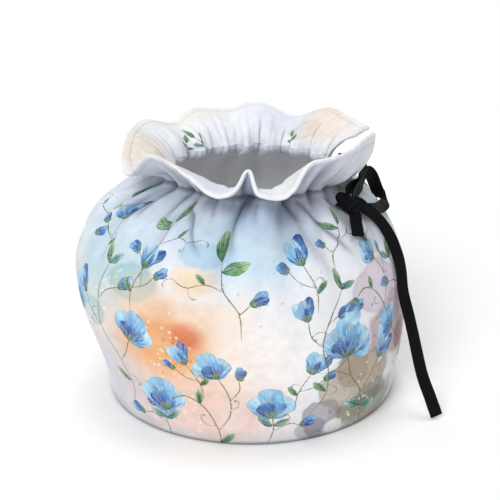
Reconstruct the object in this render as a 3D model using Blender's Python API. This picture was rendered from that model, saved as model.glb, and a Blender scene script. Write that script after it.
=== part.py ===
"""A cloth tea cosy, drawn in at the neck under a standing frill and tied with a ribbon.

The origin is on the table, under the middle of the belly. +X is the side of the slit, where the cloth
is open from the rim down, -X is the side of the round hole and -Y is the front. The cloth is one
sheet: every point of it is given by a turn about the upright axis and a place along the meridian,
from the hem up over the belly and shoulder, in through the drawn neck and out to the wavy rim.
"""

import math

import bmesh
import bpy
import numpy as np

MM = 0.001

# The cloth
CLOTH_THICK = 3.0 * MM
HEM_THICK = 4.0 * MM
FRONT_TO_SIDE = 0.95  # the body is a little less deep than it is wide
CLOTH_COLUMNS = 116
FRILL_ROWS = 5

# The meridian, in mm: height and half width of the body, how far its middle lies towards the slit,
# how deep the pleats are, how far the slit's front and back edges lie from its middle, and the rows
# of faces up to the next station. The rim has only its slit here, and its shape in the next table.
MERIDIAN = (
    # station      height  radius  shift  pleat  front  back  rows
    ("hem",          0.0,   86.5,   5.2,   0.0,   0.0,   0.0,  1),
    ("hem top",      7.0,   87.6,   6.0,   0.0,   0.0,   0.0,  1),
    ("slit foot",   24.0,   90.6,   5.8,   0.0,   0.0,   0.0,  1),
    ("low belly",   42.0,   94.2,   4.0,   0.0,   8.0,   9.0,  2),
    ("belly",       66.0,   97.2,   0.4,   0.2,  12.0,  14.0,  2),
    ("high belly",  90.0,   95.6,  -1.6,   0.7,  11.0,  15.0,  2),
    ("shoulder",   108.0,   88.4,  -1.4,   1.7,   9.0,  15.0,  2),
    ("gather",     121.5,   77.4,   0.0,   2.8,   8.0,  16.0,  2),
    ("drawn in",   130.6,   62.8,   4.0,   3.4,   7.0,  18.0,  1),
    ("channel",    134.8,   54.2,   6.8,   3.5,   6.5,  19.0,  1),
    ("throat",     138.6,   51.4,   7.4,   3.4,   6.5,  19.0,  FRILL_ROWS),
    ("rim",        160.0,   76.0,   7.4,   0.0,   7.0,  15.0,  0),
)

# The rim of the frill, in degrees and mm, about the middle of the throat. Where sooner is over 0
# the frill rises before it spreads, and where it is under 0 it spreads first.
RIM = (
    # turn   radius  height  sooner
    (   4.0,  70.0,  159.5,   0.2),
    (  15.0,  71.5,  159.0,   0.4),
    (  26.0,  77.5,  155.5,   0.6),
    (  38.0,  76.0,  158.0,   0.5),
    (  52.0,  81.5,  159.0,   0.6),
    (  70.0,  77.0,  152.0,   0.5),
    (  88.0,  82.5,  158.5,   0.6),
    ( 103.0,  77.0,  156.0,   0.4),
    ( 117.0,  82.0,  157.0,   0.6),
    ( 131.0,  77.0,  151.5,   0.5),
    ( 150.0,  80.0,  157.5,   0.6),
    ( 168.0,  76.0,  157.5,   0.5),
    ( 183.0,  77.5,  150.0,   0.6),
    ( 200.0,  78.5,  144.0,   0.8),
    ( 221.0,  75.5,  161.5,   0.2),
    ( 231.0,  76.0,  160.5,   0.3),
    ( 243.0,  79.0,  155.0,   0.6),
    ( 256.0,  83.5,  147.5,   0.9),
    ( 261.5,  80.5,  149.5,   0.8),
    ( 267.0,  69.5,  161.0,   0.3),
    ( 271.0,  77.0,  151.5,   0.8),
    ( 279.0,  83.0,  147.0,   0.9),
    ( 284.5,  81.0,  150.0,   0.8),
    ( 293.5,  76.0,  163.0,   0.3),
    ( 303.0,  77.0,  164.5,   0.1),
    ( 315.0,  73.5,  165.0,  -0.3),
    ( 331.0,  70.5,  167.0,  -0.7),
    ( 350.0,  69.5,  164.0,  -0.9),
    ( 363.9,  70.0,  160.0,  -0.9),
)

# The pleats at the neck, and the uneven way in which they are spaced.
PLEATS = 21
PLEAT_DRIFT = ((2, 1.10, 0.4), (3, 0.80, 2.1), (5, 0.45, 4.0))  # waves a turn, swing, start
PLEAT_UNEVEN = ((4, 0.26, 1.0), (7, 0.20, 3.2))

# The creases that run down from the neck, in degrees and mm.
CREASES = (
    # at neck  at foot  foot height  depth  width
    (   38.0,    32.0,      88.0,     4.0,    5.0),
    (   58.0,    62.0,      80.0,     4.6,    5.5),
    (   82.0,    78.0,      94.0,     3.6,    4.5),
    (  104.0,   110.0,      82.0,     4.8,    5.5),
    (  133.0,   130.0,      91.0,     3.8,    5.0),
    (  158.0,   164.0,     104.0,     3.6,    4.5),
    (  196.0,   188.0,      96.0,     3.6,    5.0),
    (  211.0,   203.0,     100.0,     5.0,    5.0),
    (  236.0,   236.5,      84.0,     4.6,    4.0),
    (  266.0,   261.0,      84.0,     4.2,    3.8),
    (  292.0,   316.0,      74.0,     6.6,    6.0),
    (  322.0,   327.0,      98.0,     3.6,    4.5),
)

# The soft unevenness of the padded body: waves a turn, waves up the height, depth in mm, start.
SWELLS = ((2, 1.0, 0.9, 0.3), (3, 1.6, 0.7, 2.0), (5, 2.3, 0.45, 4.4))

# The two openings in the wall
SLIT_TURN = 3.0
SIDE_HOLE_TURN = 173.0
SIDE_HOLE_HEIGHT = 84.0 * MM
SIDE_HOLE_RADIUS = 19.5 * MM
SIDE_HOLE_SIDES = 40

# The ribbon
RIBBON_WIDE = 7.6 * MM
RIBBON_THICK = 1.0 * MM
RIBBON_COLOUR = (0.010, 0.010, 0.012)
RIBBON_ROUGHNESS = 0.5
TAIL_NOTCH = 1.2 * MM
ROUTE_STEPS = 4  # faces along the ribbon between two points of its route

# Each route runs over the cloth: turn and height name the place on it, and lift is how far the
# ribbon's middle line lies outside it. The ribbon's face looks towards the facing, and up by lean.
SHORT_TAIL = (
    (-36.4, 125.3, 5.6, -60.0, 44.0),
    (-37.4, 122.4, 4.5, -60.0, 41.0),
    (-38.6, 119.2, 3.9, -60.0, 38.0),
    (-40.0, 116.0, 3.7, -60.0, 36.0),
)
LONG_TAIL = (
    (-31.0, 130.2, 10.2, -58.0, 50.0),
    (-29.2, 127.0, 8.6, -58.0, 44.0),
    (-26.4, 123.2, 7.8, -58.0, 38.0),
    (-23.9, 117.2, 7.0, -58.0, 30.0),
    (-22.3, 109.0, 6.2, -58.0, 20.0),
    (-22.0, 99.0, 5.8, -58.0, 12.0),
    (-22.0, 87.0, 5.7, -58.0, 6.0),
    (-23.2, 73.0, 6.4, -59.0, 0.0),
    (-25.4, 51.0, 12.6, -61.0, -8.0),
    (-27.0, 30.5, 20.2, -62.0, -13.0),
    (-27.5, 12.6, 30.4, -62.0, -20.0),
    (-27.3, 2.2, 36.8, -62.0, -26.0),
)

# The strand that crosses the slit from the knot to the channel's far end, and the loop that goes
# from the knot over the slit and back under the long tail: places in mm, and the way of its width.
FAR_STRAND = (
    (59.2, -35.4, 136.5, 0.0, 0.0, 1.0),
    (62.4, -28.7, 136.9, 0.0, 0.0, 1.0),
    (67.0, -21.4, 136.6, 0.0, 0.0, 1.0),
    (68.5, -12.9, 136.5, 0.0, 0.0, 1.0),
    (70.6, -6.2, 136.4, 0.0, 0.0, 1.0),
    (72.0, -0.8, 136.4, -0.1, 0.0, 1.0),
    (72.4, 3.2, 137.5, -0.2, 0.0, 1.0),
    (73.9, 6.8, 138.8, -0.3, -0.1, 0.9),
    (74.4, 10.6, 140.0, -0.3, -0.2, 0.9),
    (72.2, 15.2, 140.2, -0.3, -0.3, 0.9),
    (66.4, 19.6, 139.4, -0.35, -0.45, 0.82),
    (59.6, 21.9, 138.8, -0.35, -0.45, 0.82),
)
BOW_LOOP = (
    (63.1, -36.9, 132.9, -0.2, -0.2, 0.95),
    (65.4, -30.2, 134.8, -0.2, -0.1, 0.95),
    (68.8, -22.1, 136.3, -0.1, 0.0, 0.99),
    (70.7, -13.8, 137.3, 0.0, 0.0, 1.0),
    (72.6, -7.8, 138.2, 0.1, 0.0, 0.99),
    (74.6, -3.4, 138.0, 0.35, 0.1, 0.93),
    (77.2, -0.4, 134.6, 0.75, 0.1, 0.6),
    (79.6, 2.2, 129.0, 0.92, -0.1, 0.35),
    (81.9, 3.8, 123.4, 0.98, -0.1, 0.1),
    (84.2, 1.8, 120.0, 0.85, 0.1, -0.45),
    (85.2, -4.8, 119.3, 0.7, 0.0, -0.7),
    (82.8, -12.2, 119.6, 0.68, -0.16, -0.7),
    (80.1, -19.8, 121.1, 0.66, -0.24, -0.7),
    (76.9, -26.8, 123.2, 0.64, -0.3, -0.7),
    (73.4, -30.5, 124.3, 0.62, -0.38, -0.68),
    (70.2, -32.2, 125.0, 0.6, -0.42, -0.68),
)

# The knot lies on the shoulder: its middle, its long way, its way out of the cloth, and its half
# sizes along it, across and out.
KNOT_MIDDLE = (59.5, -40.2, 131.3)
KNOT_LONG = (0.69, -0.44, -0.58)
KNOT_OUT = (0.25, -0.62, 0.75)
KNOT_HALF = (8.0, 4.4, 3.3)
KNOT_GROOVE = 0.10
KNOT_WRAPS = 3
KNOT_RINGS = 10
KNOT_SIDES = 24


def column(table, index):
    """One column of a table as an array."""
    return np.array([row[index] for row in table], float)


def smooth(x, xs, ys):
    """Reads a table between its rows with a cubic curve that doesn't overshoot."""
    steps = np.diff(xs)
    slopes = np.diff(ys) / steps
    mean = (slopes[:-1] + slopes[1:]) / 2
    limit = 3 * np.minimum(abs(slopes[:-1]), abs(slopes[1:]))
    inner = np.where(slopes[:-1] * slopes[1:] > 0, np.clip(mean, -limit, limit), 0)
    tangents = np.concatenate([slopes[:1], inner, slopes[-1:]])
    i = np.clip(np.searchsorted(xs, x, side="right") - 1, 0, len(xs) - 2)
    t = (np.clip(x, xs[0], xs[-1]) - xs[i]) / steps[i]
    return (
        (1 + 2 * t) * (1 - t) ** 2 * ys[i]
        + t * (1 - t) ** 2 * steps[i] * tangents[i]
        + t * t * (3 - 2 * t) * ys[i + 1]
        + t * t * (t - 1) * steps[i] * tangents[i + 1]
    )


STATIONS = np.arange(len(MERIDIAN), dtype=float)
HEIGHTS, RADII, SHIFTS, PLEAT_DEPTHS, SLIT_FRONT, SLIT_BACK = (
    column(MERIDIAN, index) * MM for index in range(1, 7)
)
RIM_STATION = STATIONS[-1]
THROAT = RIM_STATION - 1


def waves(turn, table):
    """The sum of a table's waves about the axis."""
    return sum(swing * np.sin(count * turn + start) for count, swing, start in table)


def pleat(turn):
    """The pleats as a wave between -1 and 1, uneven in width and depth."""
    phase = PLEATS * turn + waves(turn, PLEAT_DRIFT)
    crest = np.cos(phase)
    return (crest - 0.22 * np.cos(2 * phase)) * (1 + waves(turn, PLEAT_UNEVEN)) / 1.3


def creases(turn, height, radius):
    """How far the creases draw the cloth in at this place."""
    depth = 0
    neck = HEIGHTS[-3]
    for at_neck, at_foot, foot, deep, wide in CREASES:
        along = np.clip((neck - height) / (neck - foot * MM), 0, 1)
        middle = np.radians(at_neck + (at_foot - at_neck) * along)
        aside = (np.mod(turn - middle + math.pi, 2 * math.pi) - math.pi) * radius
        fade = (1 - along) * (1 - along * along) * np.clip(along * 5 + 0.35, 0, 1)
        spread = wide * MM * (0.75 + 0.7 * along)
        depth = depth + deep * MM * fade * np.exp(-((aside / spread) ** 2))
    return depth


def swell(turn, height):
    """The soft unevenness of the padded body."""
    up = height / HEIGHTS[-2]
    fade = np.sin(math.pi * np.clip(up, 0, 1))
    return fade * sum(
        deep * MM * np.sin(count * turn + rise * math.pi * up + start)
        for count, rise, deep, start in SWELLS
    )


def meridian(station):
    """Height, radius, shift and pleat depth of the smooth body, up to the throat."""
    low = np.minimum(station, THROAT)
    body = slice(0, -1)
    return (
        smooth(low, STATIONS[body], values[body])
        for values in (HEIGHTS, RADII, SHIFTS, PLEAT_DEPTHS)
    )


def cloth_middle(turn, station):
    """The points of the cloth's middle layer, for arrays of turns in radians and of stations."""
    height, radius, shift, depth = meridian(station)
    out = np.clip(station - THROAT, 0, 1)
    radius = radius + np.where(out > 0, 0, swell(turn, height) - creases(turn, height, radius))

    # Above the throat the cloth runs out to the rim, which has its own waves.
    degrees = np.mod(np.degrees(turn) - RIM[0][0], 360) + RIM[0][0]
    rim_radius, rim_height, sooner = (
        smooth(degrees, column(RIM, 0), column(RIM, index)) for index in (1, 2, 3)
    )
    spread = out - sooner * out * (1 - out)
    rise = out + sooner * out * (1 - out)
    radius = radius + (rim_radius * MM - RADII[-2]) * spread
    height = height + (rim_height * MM - HEIGHTS[-2]) * rise
    radius = radius + depth * pleat(turn) * (1 - out) ** 1.5

    x = shift + radius * np.cos(turn)
    y = FRONT_TO_SIDE * radius * np.sin(turn)
    return np.stack([x, y, height], axis=-1)


def normals_of(place, turn, station):
    """Outward unit normals of a surface place(turn, station)."""
    step = 1e-3
    around = place(turn + step, station) - place(turn - step, station)
    up = place(turn, np.minimum(station + step, RIM_STATION)) - place(
        turn, np.maximum(station - step, 0)
    )
    normal = np.cross(around, up)
    return normal / np.linalg.norm(normal, axis=-1, keepdims=True)


def cloth_grid():
    """Turns and stations of the cloth's grid, from the slit's back edge round to its front edge."""
    rows = [index + np.arange(row[-1]) / max(row[-1], 1) for index, row in enumerate(MERIDIAN)]
    station = np.append(np.concatenate(rows), RIM_STATION)
    radius = smooth(station, STATIONS, RADII)
    back = smooth(station, STATIONS, SLIT_BACK) / radius
    front = smooth(station, STATIONS, SLIT_FRONT) / radius
    start = math.radians(SLIT_TURN) + back
    sweep = 2 * math.pi - back - front
    share = np.linspace(0, 1, CLOTH_COLUMNS + 1)
    turn = start[:, None] + sweep[:, None] * share[None, :]
    return turn, np.repeat(station[:, None], CLOTH_COLUMNS + 1, axis=1)


def cloth_layers():
    """The outer and inner layers of the cloth, thicker at the hem, with the hem flat on z = 0."""
    turn, station = cloth_grid()
    middle = cloth_middle(turn, station)
    normal = normals_of(cloth_middle, turn, station)
    level = normal[0].copy()
    level[:, 2] = 0
    normal[0] = level / np.linalg.norm(level, axis=-1, keepdims=True)
    hem = np.clip(1 - station / 2, 0, 1)[..., None]
    half = (CLOTH_THICK + (HEM_THICK - CLOTH_THICK) * hem) / 2
    return middle + normal * half, middle - normal * half


def add_object(name, mesh_builder, colour, roughness):
    """A named object with its own material, from a bmesh."""
    mesh = bpy.data.meshes.new(name)
    mesh_builder.to_mesh(mesh)
    mesh_builder.free()
    mesh.shade_smooth()
    material = bpy.data.materials.new(name)
    material.use_nodes = True
    shader = material.node_tree.nodes["Principled BSDF"]
    shader.inputs["Base Color"].default_value = (*colour, 1)
    shader.inputs["Roughness"].default_value = roughness
    shader.inputs["Metallic"].default_value = 0
    material.diffuse_color = (*colour, 1)
    mesh.materials.append(material)
    made = bpy.data.objects.new(name, mesh)
    bpy.context.scene.collection.objects.link(made)
    return made


def shell(outer, inner, joined_rows=0):
    """A closed sheet between two grids of points.

    The first joined_rows rows run all the way round, so their first and last points are one.
    """
    sheet = bmesh.new()
    rows, columns = outer.shape[:2]
    layers = []
    for grid in (outer, inner):
        points = [[sheet.verts.new(p) for p in row] for row in grid]
        for row in range(joined_rows):
            sheet.verts.remove(points[row][-1])
            points[row][-1] = points[row][0]
        layers.append(points)
    top, bottom = layers
    for i in range(rows - 1):
        for j in range(columns - 1):
            sheet.faces.new((top[i][j], top[i][j + 1], top[i + 1][j + 1], top[i + 1][j]))
            sheet.faces.new((bottom[i][j], bottom[i + 1][j], bottom[i + 1][j + 1], bottom[i][j + 1]))
    for j in range(columns - 1):
        sheet.faces.new((top[0][j], bottom[0][j], bottom[0][j + 1], top[0][j + 1]))
        sheet.faces.new((top[-1][j], top[-1][j + 1], bottom[-1][j + 1], bottom[-1][j]))
    for i in range(max(joined_rows - 1, 0), rows - 1):
        sheet.faces.new((top[i][0], top[i + 1][0], bottom[i + 1][0], bottom[i][0]))
        sheet.faces.new((top[i][-1], bottom[i][-1], bottom[i + 1][-1], top[i + 1][-1]))
    bmesh.ops.recalc_face_normals(sheet, faces=sheet.faces)
    bmesh.ops.triangulate(sheet, faces=sheet.faces)
    return sheet


def add_cloth():
    """The printed wrap, belly and frill in one, with the round side hole cut through it."""
    outer, inner = cloth_layers()
    _, station = cloth_grid()
    foot = [name for name, *_ in MERIDIAN].index("slit foot")
    joined = int((station[:, 0] <= foot).sum())
    cloth = add_object("cloth_wrap", shell(outer, inner, joined), (0.78, 0.82, 0.88), 0.85)

    cutter_mesh = bmesh.new()
    bmesh.ops.create_cone(
        cutter_mesh,
        cap_ends=True,
        segments=SIDE_HOLE_SIDES,
        radius1=SIDE_HOLE_RADIUS,
        radius2=SIDE_HOLE_RADIUS,
        depth=60 * MM,
    )
    cutter = add_object("side_hole_cutter", cutter_mesh, (0.5, 0.5, 0.5), 0.5)
    turn = math.radians(SIDE_HOLE_TURN)
    reach = RADII.max()
    cutter.location = (reach * math.cos(turn), reach * math.sin(turn), SIDE_HOLE_HEIGHT)
    cutter.rotation_euler = (0, math.pi / 2, turn)
    cutter.hide_render = True
    cutter.display_type = "WIRE"
    hole = cloth.modifiers.new("side hole", "BOOLEAN")
    hole.operation = "DIFFERENCE"
    hole.object = cutter


def along_route(route):
    """The columns of a route read along a smooth curve through its rows."""
    rows = np.array(route, float)
    ends = np.concatenate([2 * rows[:1] - rows[1:2], rows, 2 * rows[-1:] - rows[-2:-1]])
    t = np.arange(ROUTE_STEPS)[:, None] / ROUTE_STEPS
    spans = [
        0.5
        * (
            2 * b
            + (c - a) * t
            + (2 * a - 5 * b + 4 * c - d) * t**2
            + (3 * b - a - 3 * c + d) * t**3
        )
        for a, b, c, d in zip(ends, ends[1:], ends[2:], ends[3:])
    ]
    return np.concatenate([*spans, rows[-1:]])


def unit(vectors):
    """The same directions at length one."""
    return vectors / np.linalg.norm(vectors, axis=-1, keepdims=True)


def over_cloth(route):
    """A tail's points and the ways across its width."""
    turn, height, lift, facing, lean = along_route(route).T
    turn, facing, lean = np.radians(turn), np.radians(facing), np.radians(lean)
    _, radius, shift, _ = meridian(smooth(height * MM, HEIGHTS, STATIONS))
    radius = radius + lift * MM
    x = shift + radius * np.cos(turn)
    y = FRONT_TO_SIDE * radius * np.sin(turn)
    points = np.stack([x, y, height * MM], axis=-1)
    level = np.stack([np.cos(facing), np.sin(facing), 0 * facing], axis=-1)
    face = level * np.cos(lean)[:, None] + np.outer(np.sin(lean), (0, 0, 1))
    return points, unit(np.cross(np.gradient(points, axis=0), face))


def ribbon(points, side, notch=0.0):
    """A flat strip about a route, its far end cut with a notch."""
    along = unit(np.gradient(points, axis=0))
    side = unit(side - along * (side * along).sum(axis=-1, keepdims=True))
    half = np.cross(side, along)[:, None] * RIBBON_THICK / 2
    across = np.array([-0.5, 0, 0.5]) * RIBBON_WIDE
    grid = points[:, None] + side[:, None] * across[None, :, None]
    grid[-1, 1] -= along[-1] * notch
    return shell(grid + half, grid - half)


def add_ribbon():
    """The tie: its knot, its two free ends, its loop and the strand that crosses the slit."""
    for name, route, notch in (
        ("ribbon_short_tail", SHORT_TAIL, TAIL_NOTCH),
        ("ribbon_long_tail", LONG_TAIL, 0.0),
    ):
        add_object(name, ribbon(*over_cloth(route), notch), RIBBON_COLOUR, RIBBON_ROUGHNESS)
    for name, route in (("ribbon_far_strand", FAR_STRAND), ("ribbon_loop", BOW_LOOP)):
        rows = along_route(route)
        strand = ribbon(rows[:, :3] * MM, rows[:, 3:])
        add_object(name, strand, RIBBON_COLOUR, RIBBON_ROUGHNESS)

    long_way = unit(np.array(KNOT_LONG))
    out = unit(np.array(KNOT_OUT) - long_way * np.dot(KNOT_OUT, long_way))
    axes = np.array([long_way, np.cross(out, long_way), out])
    lump = bmesh.new()
    bmesh.ops.create_uvsphere(lump, u_segments=KNOT_SIDES, v_segments=KNOT_RINGS, radius=1)
    for vert in lump.verts:
        across, up, along = vert.co
        slant = along + across * 0.35
        wrapped = 1 - KNOT_GROOVE * (0.5 + 0.5 * math.cos(KNOT_WRAPS * math.pi * slant))
        half = np.array(KNOT_HALF) * (1, wrapped, wrapped)
        vert.co = (np.array(KNOT_MIDDLE) + (np.array([along, across, up]) * half) @ axes) * MM
    add_object("ribbon_knot", lump, RIBBON_COLOUR, RIBBON_ROUGHNESS)


def main():
    for old in list(bpy.data.objects):
        bpy.data.objects.remove(old)
    add_cloth()
    add_ribbon()


main()
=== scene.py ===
"""Looks of a cloth tea cosy, drawn in at the neck under a wavy frill and tied with a ribbon.

The cloth is dressed as three pieces of one fine sheet: the front and the back of the belly, and the
frill. Each lies on the solid's own folds. A watercolour print of blossoms, leaves and stems is
painted on them in the cloth's own flat sizes: mm across the width and mm up from the bottom hem.
"""

from __future__ import annotations

import logging
import math
from dataclasses import dataclass, field
from enum import Enum
from typing import NamedTuple, Sequence

import bpy
import numpy as np
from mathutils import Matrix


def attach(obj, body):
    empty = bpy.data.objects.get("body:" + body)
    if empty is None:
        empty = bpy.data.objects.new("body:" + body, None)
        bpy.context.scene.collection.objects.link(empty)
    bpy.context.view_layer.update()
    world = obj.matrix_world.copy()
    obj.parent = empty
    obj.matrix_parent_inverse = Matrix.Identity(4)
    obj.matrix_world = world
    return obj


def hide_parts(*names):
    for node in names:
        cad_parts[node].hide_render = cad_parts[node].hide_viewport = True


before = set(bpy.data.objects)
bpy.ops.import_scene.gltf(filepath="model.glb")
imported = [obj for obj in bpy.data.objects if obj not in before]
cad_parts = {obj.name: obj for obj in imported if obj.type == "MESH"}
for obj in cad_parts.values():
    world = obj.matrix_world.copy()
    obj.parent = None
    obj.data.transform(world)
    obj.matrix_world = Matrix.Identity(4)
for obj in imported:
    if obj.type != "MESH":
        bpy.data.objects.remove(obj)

LOG = logging.getLogger("tea_cosy")
MM = 0.001
TURN = 2 * math.pi
FLAT_UNIT = 100.0  # mm of cloth or ribbon to one unit of its UV map
WAVE_SCALE = 0.314159  # scale at which a Wave Texture has one band to a unit
ROUNDING = np.array([0.0, 0.12, 0.45, 0.95])  # mm in from an edge, where its rounding has points
ROUNDING_END = 1.4  # mm in from an edge, where the even spacing starts
STRIP_SHARES = np.array(
    [-0.5, -0.49, -0.45, -0.4, -0.3, -0.15, 0, 0.15, 0.3, 0.4, 0.45, 0.49, 0.5]
)  # where a ribbon has points across its width, as shares of it


# ---- sizes and small tools


class Station(NamedTuple):
    """A height on the cloth, from the hem to the rim, in mm."""

    name: str
    height: float
    radius: float
    shift: float
    pleat: float
    front: float
    back: float


class RimPoint(NamedTuple):
    """A place on the rim of the frill, in degrees and mm."""

    turn: float
    radius: float
    height: float
    sooner: float


class Crease(NamedTuple):
    """A crease that runs down from the neck, in degrees and mm."""

    at_neck: float
    at_foot: float
    foot: float
    depth: float
    width: float


class Fold(NamedTuple):
    """A fold between two places on the cloth, in degrees and mm up it; it stands out if under 0."""

    turn: float
    up: float
    far_turn: float
    far_up: float
    depth: float
    width: float


MERIDIAN = (
    Station("hem", 0.0, 86.5, 5.2, 0.0, 0.0, 0.0),
    Station("hem top", 7.0, 87.6, 6.0, 0.0, 0.0, 0.0),
    Station("slit foot", 24.0, 90.6, 5.8, 0.0, 0.0, 0.0),
    Station("low belly", 42.0, 94.2, 4.0, 0.0, 8.0, 9.0),
    Station("belly", 66.0, 97.2, 0.4, 0.2, 12.0, 14.0),
    Station("high belly", 90.0, 95.6, -1.6, 0.7, 11.0, 15.0),
    Station("shoulder", 108.0, 88.4, -1.4, 1.7, 9.0, 15.0),
    Station("gather", 121.5, 77.4, 0.0, 2.8, 8.0, 16.0),
    Station("drawn in", 130.6, 62.8, 4.0, 3.4, 7.0, 18.0),
    Station("channel", 134.8, 54.2, 6.8, 3.5, 6.5, 19.0),
    Station("throat", 138.6, 51.4, 7.4, 3.4, 6.5, 19.0),
    Station("rim", 160.0, 76.0, 7.4, 0.0, 7.0, 15.0),
)

RIM = (
    RimPoint(4.0, 70.0, 159.5, 0.2),
    RimPoint(15.0, 71.5, 159.0, 0.4),
    RimPoint(26.0, 77.5, 155.5, 0.6),
    RimPoint(38.0, 76.0, 158.0, 0.5),
    RimPoint(52.0, 81.5, 159.0, 0.6),
    RimPoint(70.0, 77.0, 152.0, 0.5),
    RimPoint(88.0, 82.5, 158.5, 0.6),
    RimPoint(103.0, 77.0, 156.0, 0.4),
    RimPoint(117.0, 82.0, 157.0, 0.6),
    RimPoint(131.0, 77.0, 151.5, 0.5),
    RimPoint(150.0, 80.0, 157.5, 0.6),
    RimPoint(168.0, 76.0, 157.5, 0.5),
    RimPoint(183.0, 77.5, 150.0, 0.6),
    RimPoint(200.0, 78.5, 144.0, 0.8),
    RimPoint(221.0, 75.5, 161.5, 0.2),
    RimPoint(231.0, 76.0, 160.5, 0.3),
    RimPoint(243.0, 79.0, 155.0, 0.6),
    RimPoint(256.0, 83.5, 147.5, 0.9),
    RimPoint(261.5, 80.0, 149.7, 0.8),
    RimPoint(267.3, 70.6, 158.8, 0.3),
    RimPoint(270.2, 78.2, 149.9, 0.8),
    RimPoint(273.5, 81.6, 147.6, 0.9),
    RimPoint(280.0, 83.0, 146.8, 0.9),
    RimPoint(284.5, 81.0, 150.0, 0.8),
    RimPoint(293.5, 76.0, 163.0, 0.3),
    RimPoint(303.0, 77.0, 164.5, 0.1),
    RimPoint(315.0, 73.5, 165.0, -0.3),
    RimPoint(331.0, 70.5, 167.0, -0.7),
    RimPoint(350.0, 69.5, 164.0, -0.9),
    RimPoint(363.9, 70.0, 160.0, -0.9),
)

CREASES = (
    Crease(38.0, 32.0, 88.0, 4.0, 5.0),
    Crease(58.0, 62.0, 80.0, 4.6, 5.5),
    Crease(82.0, 78.0, 94.0, 3.6, 4.5),
    Crease(104.0, 110.0, 82.0, 4.8, 5.5),
    Crease(133.0, 130.0, 91.0, 3.8, 5.0),
    Crease(158.0, 164.0, 104.0, 3.6, 4.5),
    Crease(196.0, 188.0, 96.0, 3.6, 5.0),
    Crease(211.0, 203.0, 100.0, 5.0, 5.0),
    Crease(236.0, 236.5, 84.0, 4.6, 4.0),
    Crease(266.0, 261.0, 84.0, 4.2, 3.8),
    Crease(292.0, 316.0, 74.0, 6.6, 6.0),
    Crease(322.0, 327.0, 98.0, 3.6, 4.5),
)


FOLDS = (
    Fold(205, 152, 206, 124, 2.0, 2.2),
    Fold(211, 152, 217, 130, 2.2, 2.2),
    Fold(218, 153, 226, 139, -1.8, 3.2),
    Fold(227, 155, 232, 132, 1.8, 1.9),
    Fold(235, 154, 256, 116, 2.6, 1.9),
    Fold(240, 153, 262, 122, -1.4, 3.4),
    Fold(248, 156, 255, 138, 1.6, 1.7),
    Fold(264, 154, 267, 117, 1.9, 1.5),
    Fold(272, 156, 274, 138, 1.4, 1.6),
    Fold(281, 154, 292, 120, 2.8, 5.5),
    Fold(288, 155, 297, 134, 1.6, 1.8),
    Fold(296, 154, 316, 108, 3.2, 2.1),
    Fold(303, 153, 324, 114, -2.2, 3.8),
    Fold(314, 150, 333, 92, 2.6, 8.0),
    Fold(313, 154, 330, 126, 1.8, 1.9),
    Fold(327, 153, 334, 122, 2.0, 2.2),
    Fold(340, 152, 343, 124, 1.6, 2.0),
    Fold(24, 152, 26, 128, 1.8, 2.2),
    Fold(48, 153, 42, 122, 2.0, 2.4),
    Fold(70, 152, 72, 126, 1.8, 2.0),
    Fold(95, 154, 92, 120, 2.2, 2.4),
    Fold(121, 152, 126, 130, 1.8, 2.0),
    Fold(146, 153, 142, 124, 2.0, 2.2),
    Fold(183, 152, 178, 130, 1.8, 2.0),
    Fold(207, 180, 213, 161, 2.2, 2.4),
    Fold(221, 188, 222, 162, 1.8, 2.2),
    Fold(229, 184, 232, 162, -1.4, 3.0),
    Fold(238, 182, 236, 161, 1.8, 1.9),
    Fold(245, 190, 247, 162, -1.6, 3.4),
    Fold(252, 180, 252, 161, 1.5, 1.7),
    Fold(266, 199, 261, 158, 3.0, 2.2),
    Fold(272, 196, 270, 164, -1.2, 4.0),
    Fold(284, 184, 280, 160, 1.4, 1.8),
    Fold(297, 192, 297, 160, 1.8, 1.9),
    Fold(304, 194, 309, 162, 2.6, 5.0),
    Fold(316, 186, 313, 161, 1.7, 1.8),
    Fold(329, 190, 325, 162, -1.5, 3.2),
    Fold(341, 186, 336, 161, 1.8, 2.0),
    Fold(20, 188, 22, 162, 1.6, 2.4),
    Fold(44, 184, 40, 161, 1.6, 2.0),
    Fold(63, 190, 66, 162, -1.6, 3.4),
    Fold(80, 186, 78, 161, 1.6, 2.0),
    Fold(98, 190, 101, 162, 1.4, 2.2),
    Fold(112, 184, 109, 161, -1.4, 3.0),
    Fold(128, 188, 130, 161, 1.8, 2.2),
    Fold(147, 184, 150, 161, 1.6, 1.9),
    Fold(166, 188, 162, 162, -1.4, 3.0),
    Fold(181, 186, 184, 161, 1.8, 2.2),
)


class Wave(NamedTuple):
    """One wave about the axis: how many a turn, how far it swings, and where it starts."""

    count: float
    swing: float
    start: float


class Swell(NamedTuple):
    """A soft unevenness: how many a turn, its half turns up the belly, depth in mm and start."""

    count: int
    rise: float
    depth: float
    start: float


def column(table: Sequence[tuple], name: str) -> np.ndarray:
    """One named column of a table as an array."""
    return np.array([getattr(row, name) for row in table], float)


def ease(t: np.ndarray) -> np.ndarray:
    """Rises from 0 at 0 to 1 at 1, level at both ends."""
    return t * t * (3 - 2 * t)


def bell(x: np.ndarray) -> np.ndarray:
    """1 at zero, falling away smoothly to either side."""
    return np.exp(-(x**2))


def boxed(x: np.ndarray, power: float) -> np.ndarray:
    """A value between -1 and 1 pushed outward by a power below 1, which makes a ball boxy."""
    return np.sign(x) * abs(x) ** power


def step_up(x: np.ndarray, low: float, high: float) -> np.ndarray:
    """Rises smoothly from 0 at low to 1 at high; low may be the greater."""
    return ease(np.clip((x - low) / (high - low), 0, 1))


def wrapped(x: np.ndarray, middle: float | np.ndarray, repeat: float) -> np.ndarray:
    """How far places lie past a middle, within half a repeat either way."""
    return np.mod(x - middle + repeat / 2, repeat) - repeat / 2


def unit(vectors: np.ndarray) -> np.ndarray:
    """The same directions at length one."""
    return vectors / np.maximum(np.linalg.norm(vectors, axis=-1, keepdims=True), 1e-12)


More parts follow.
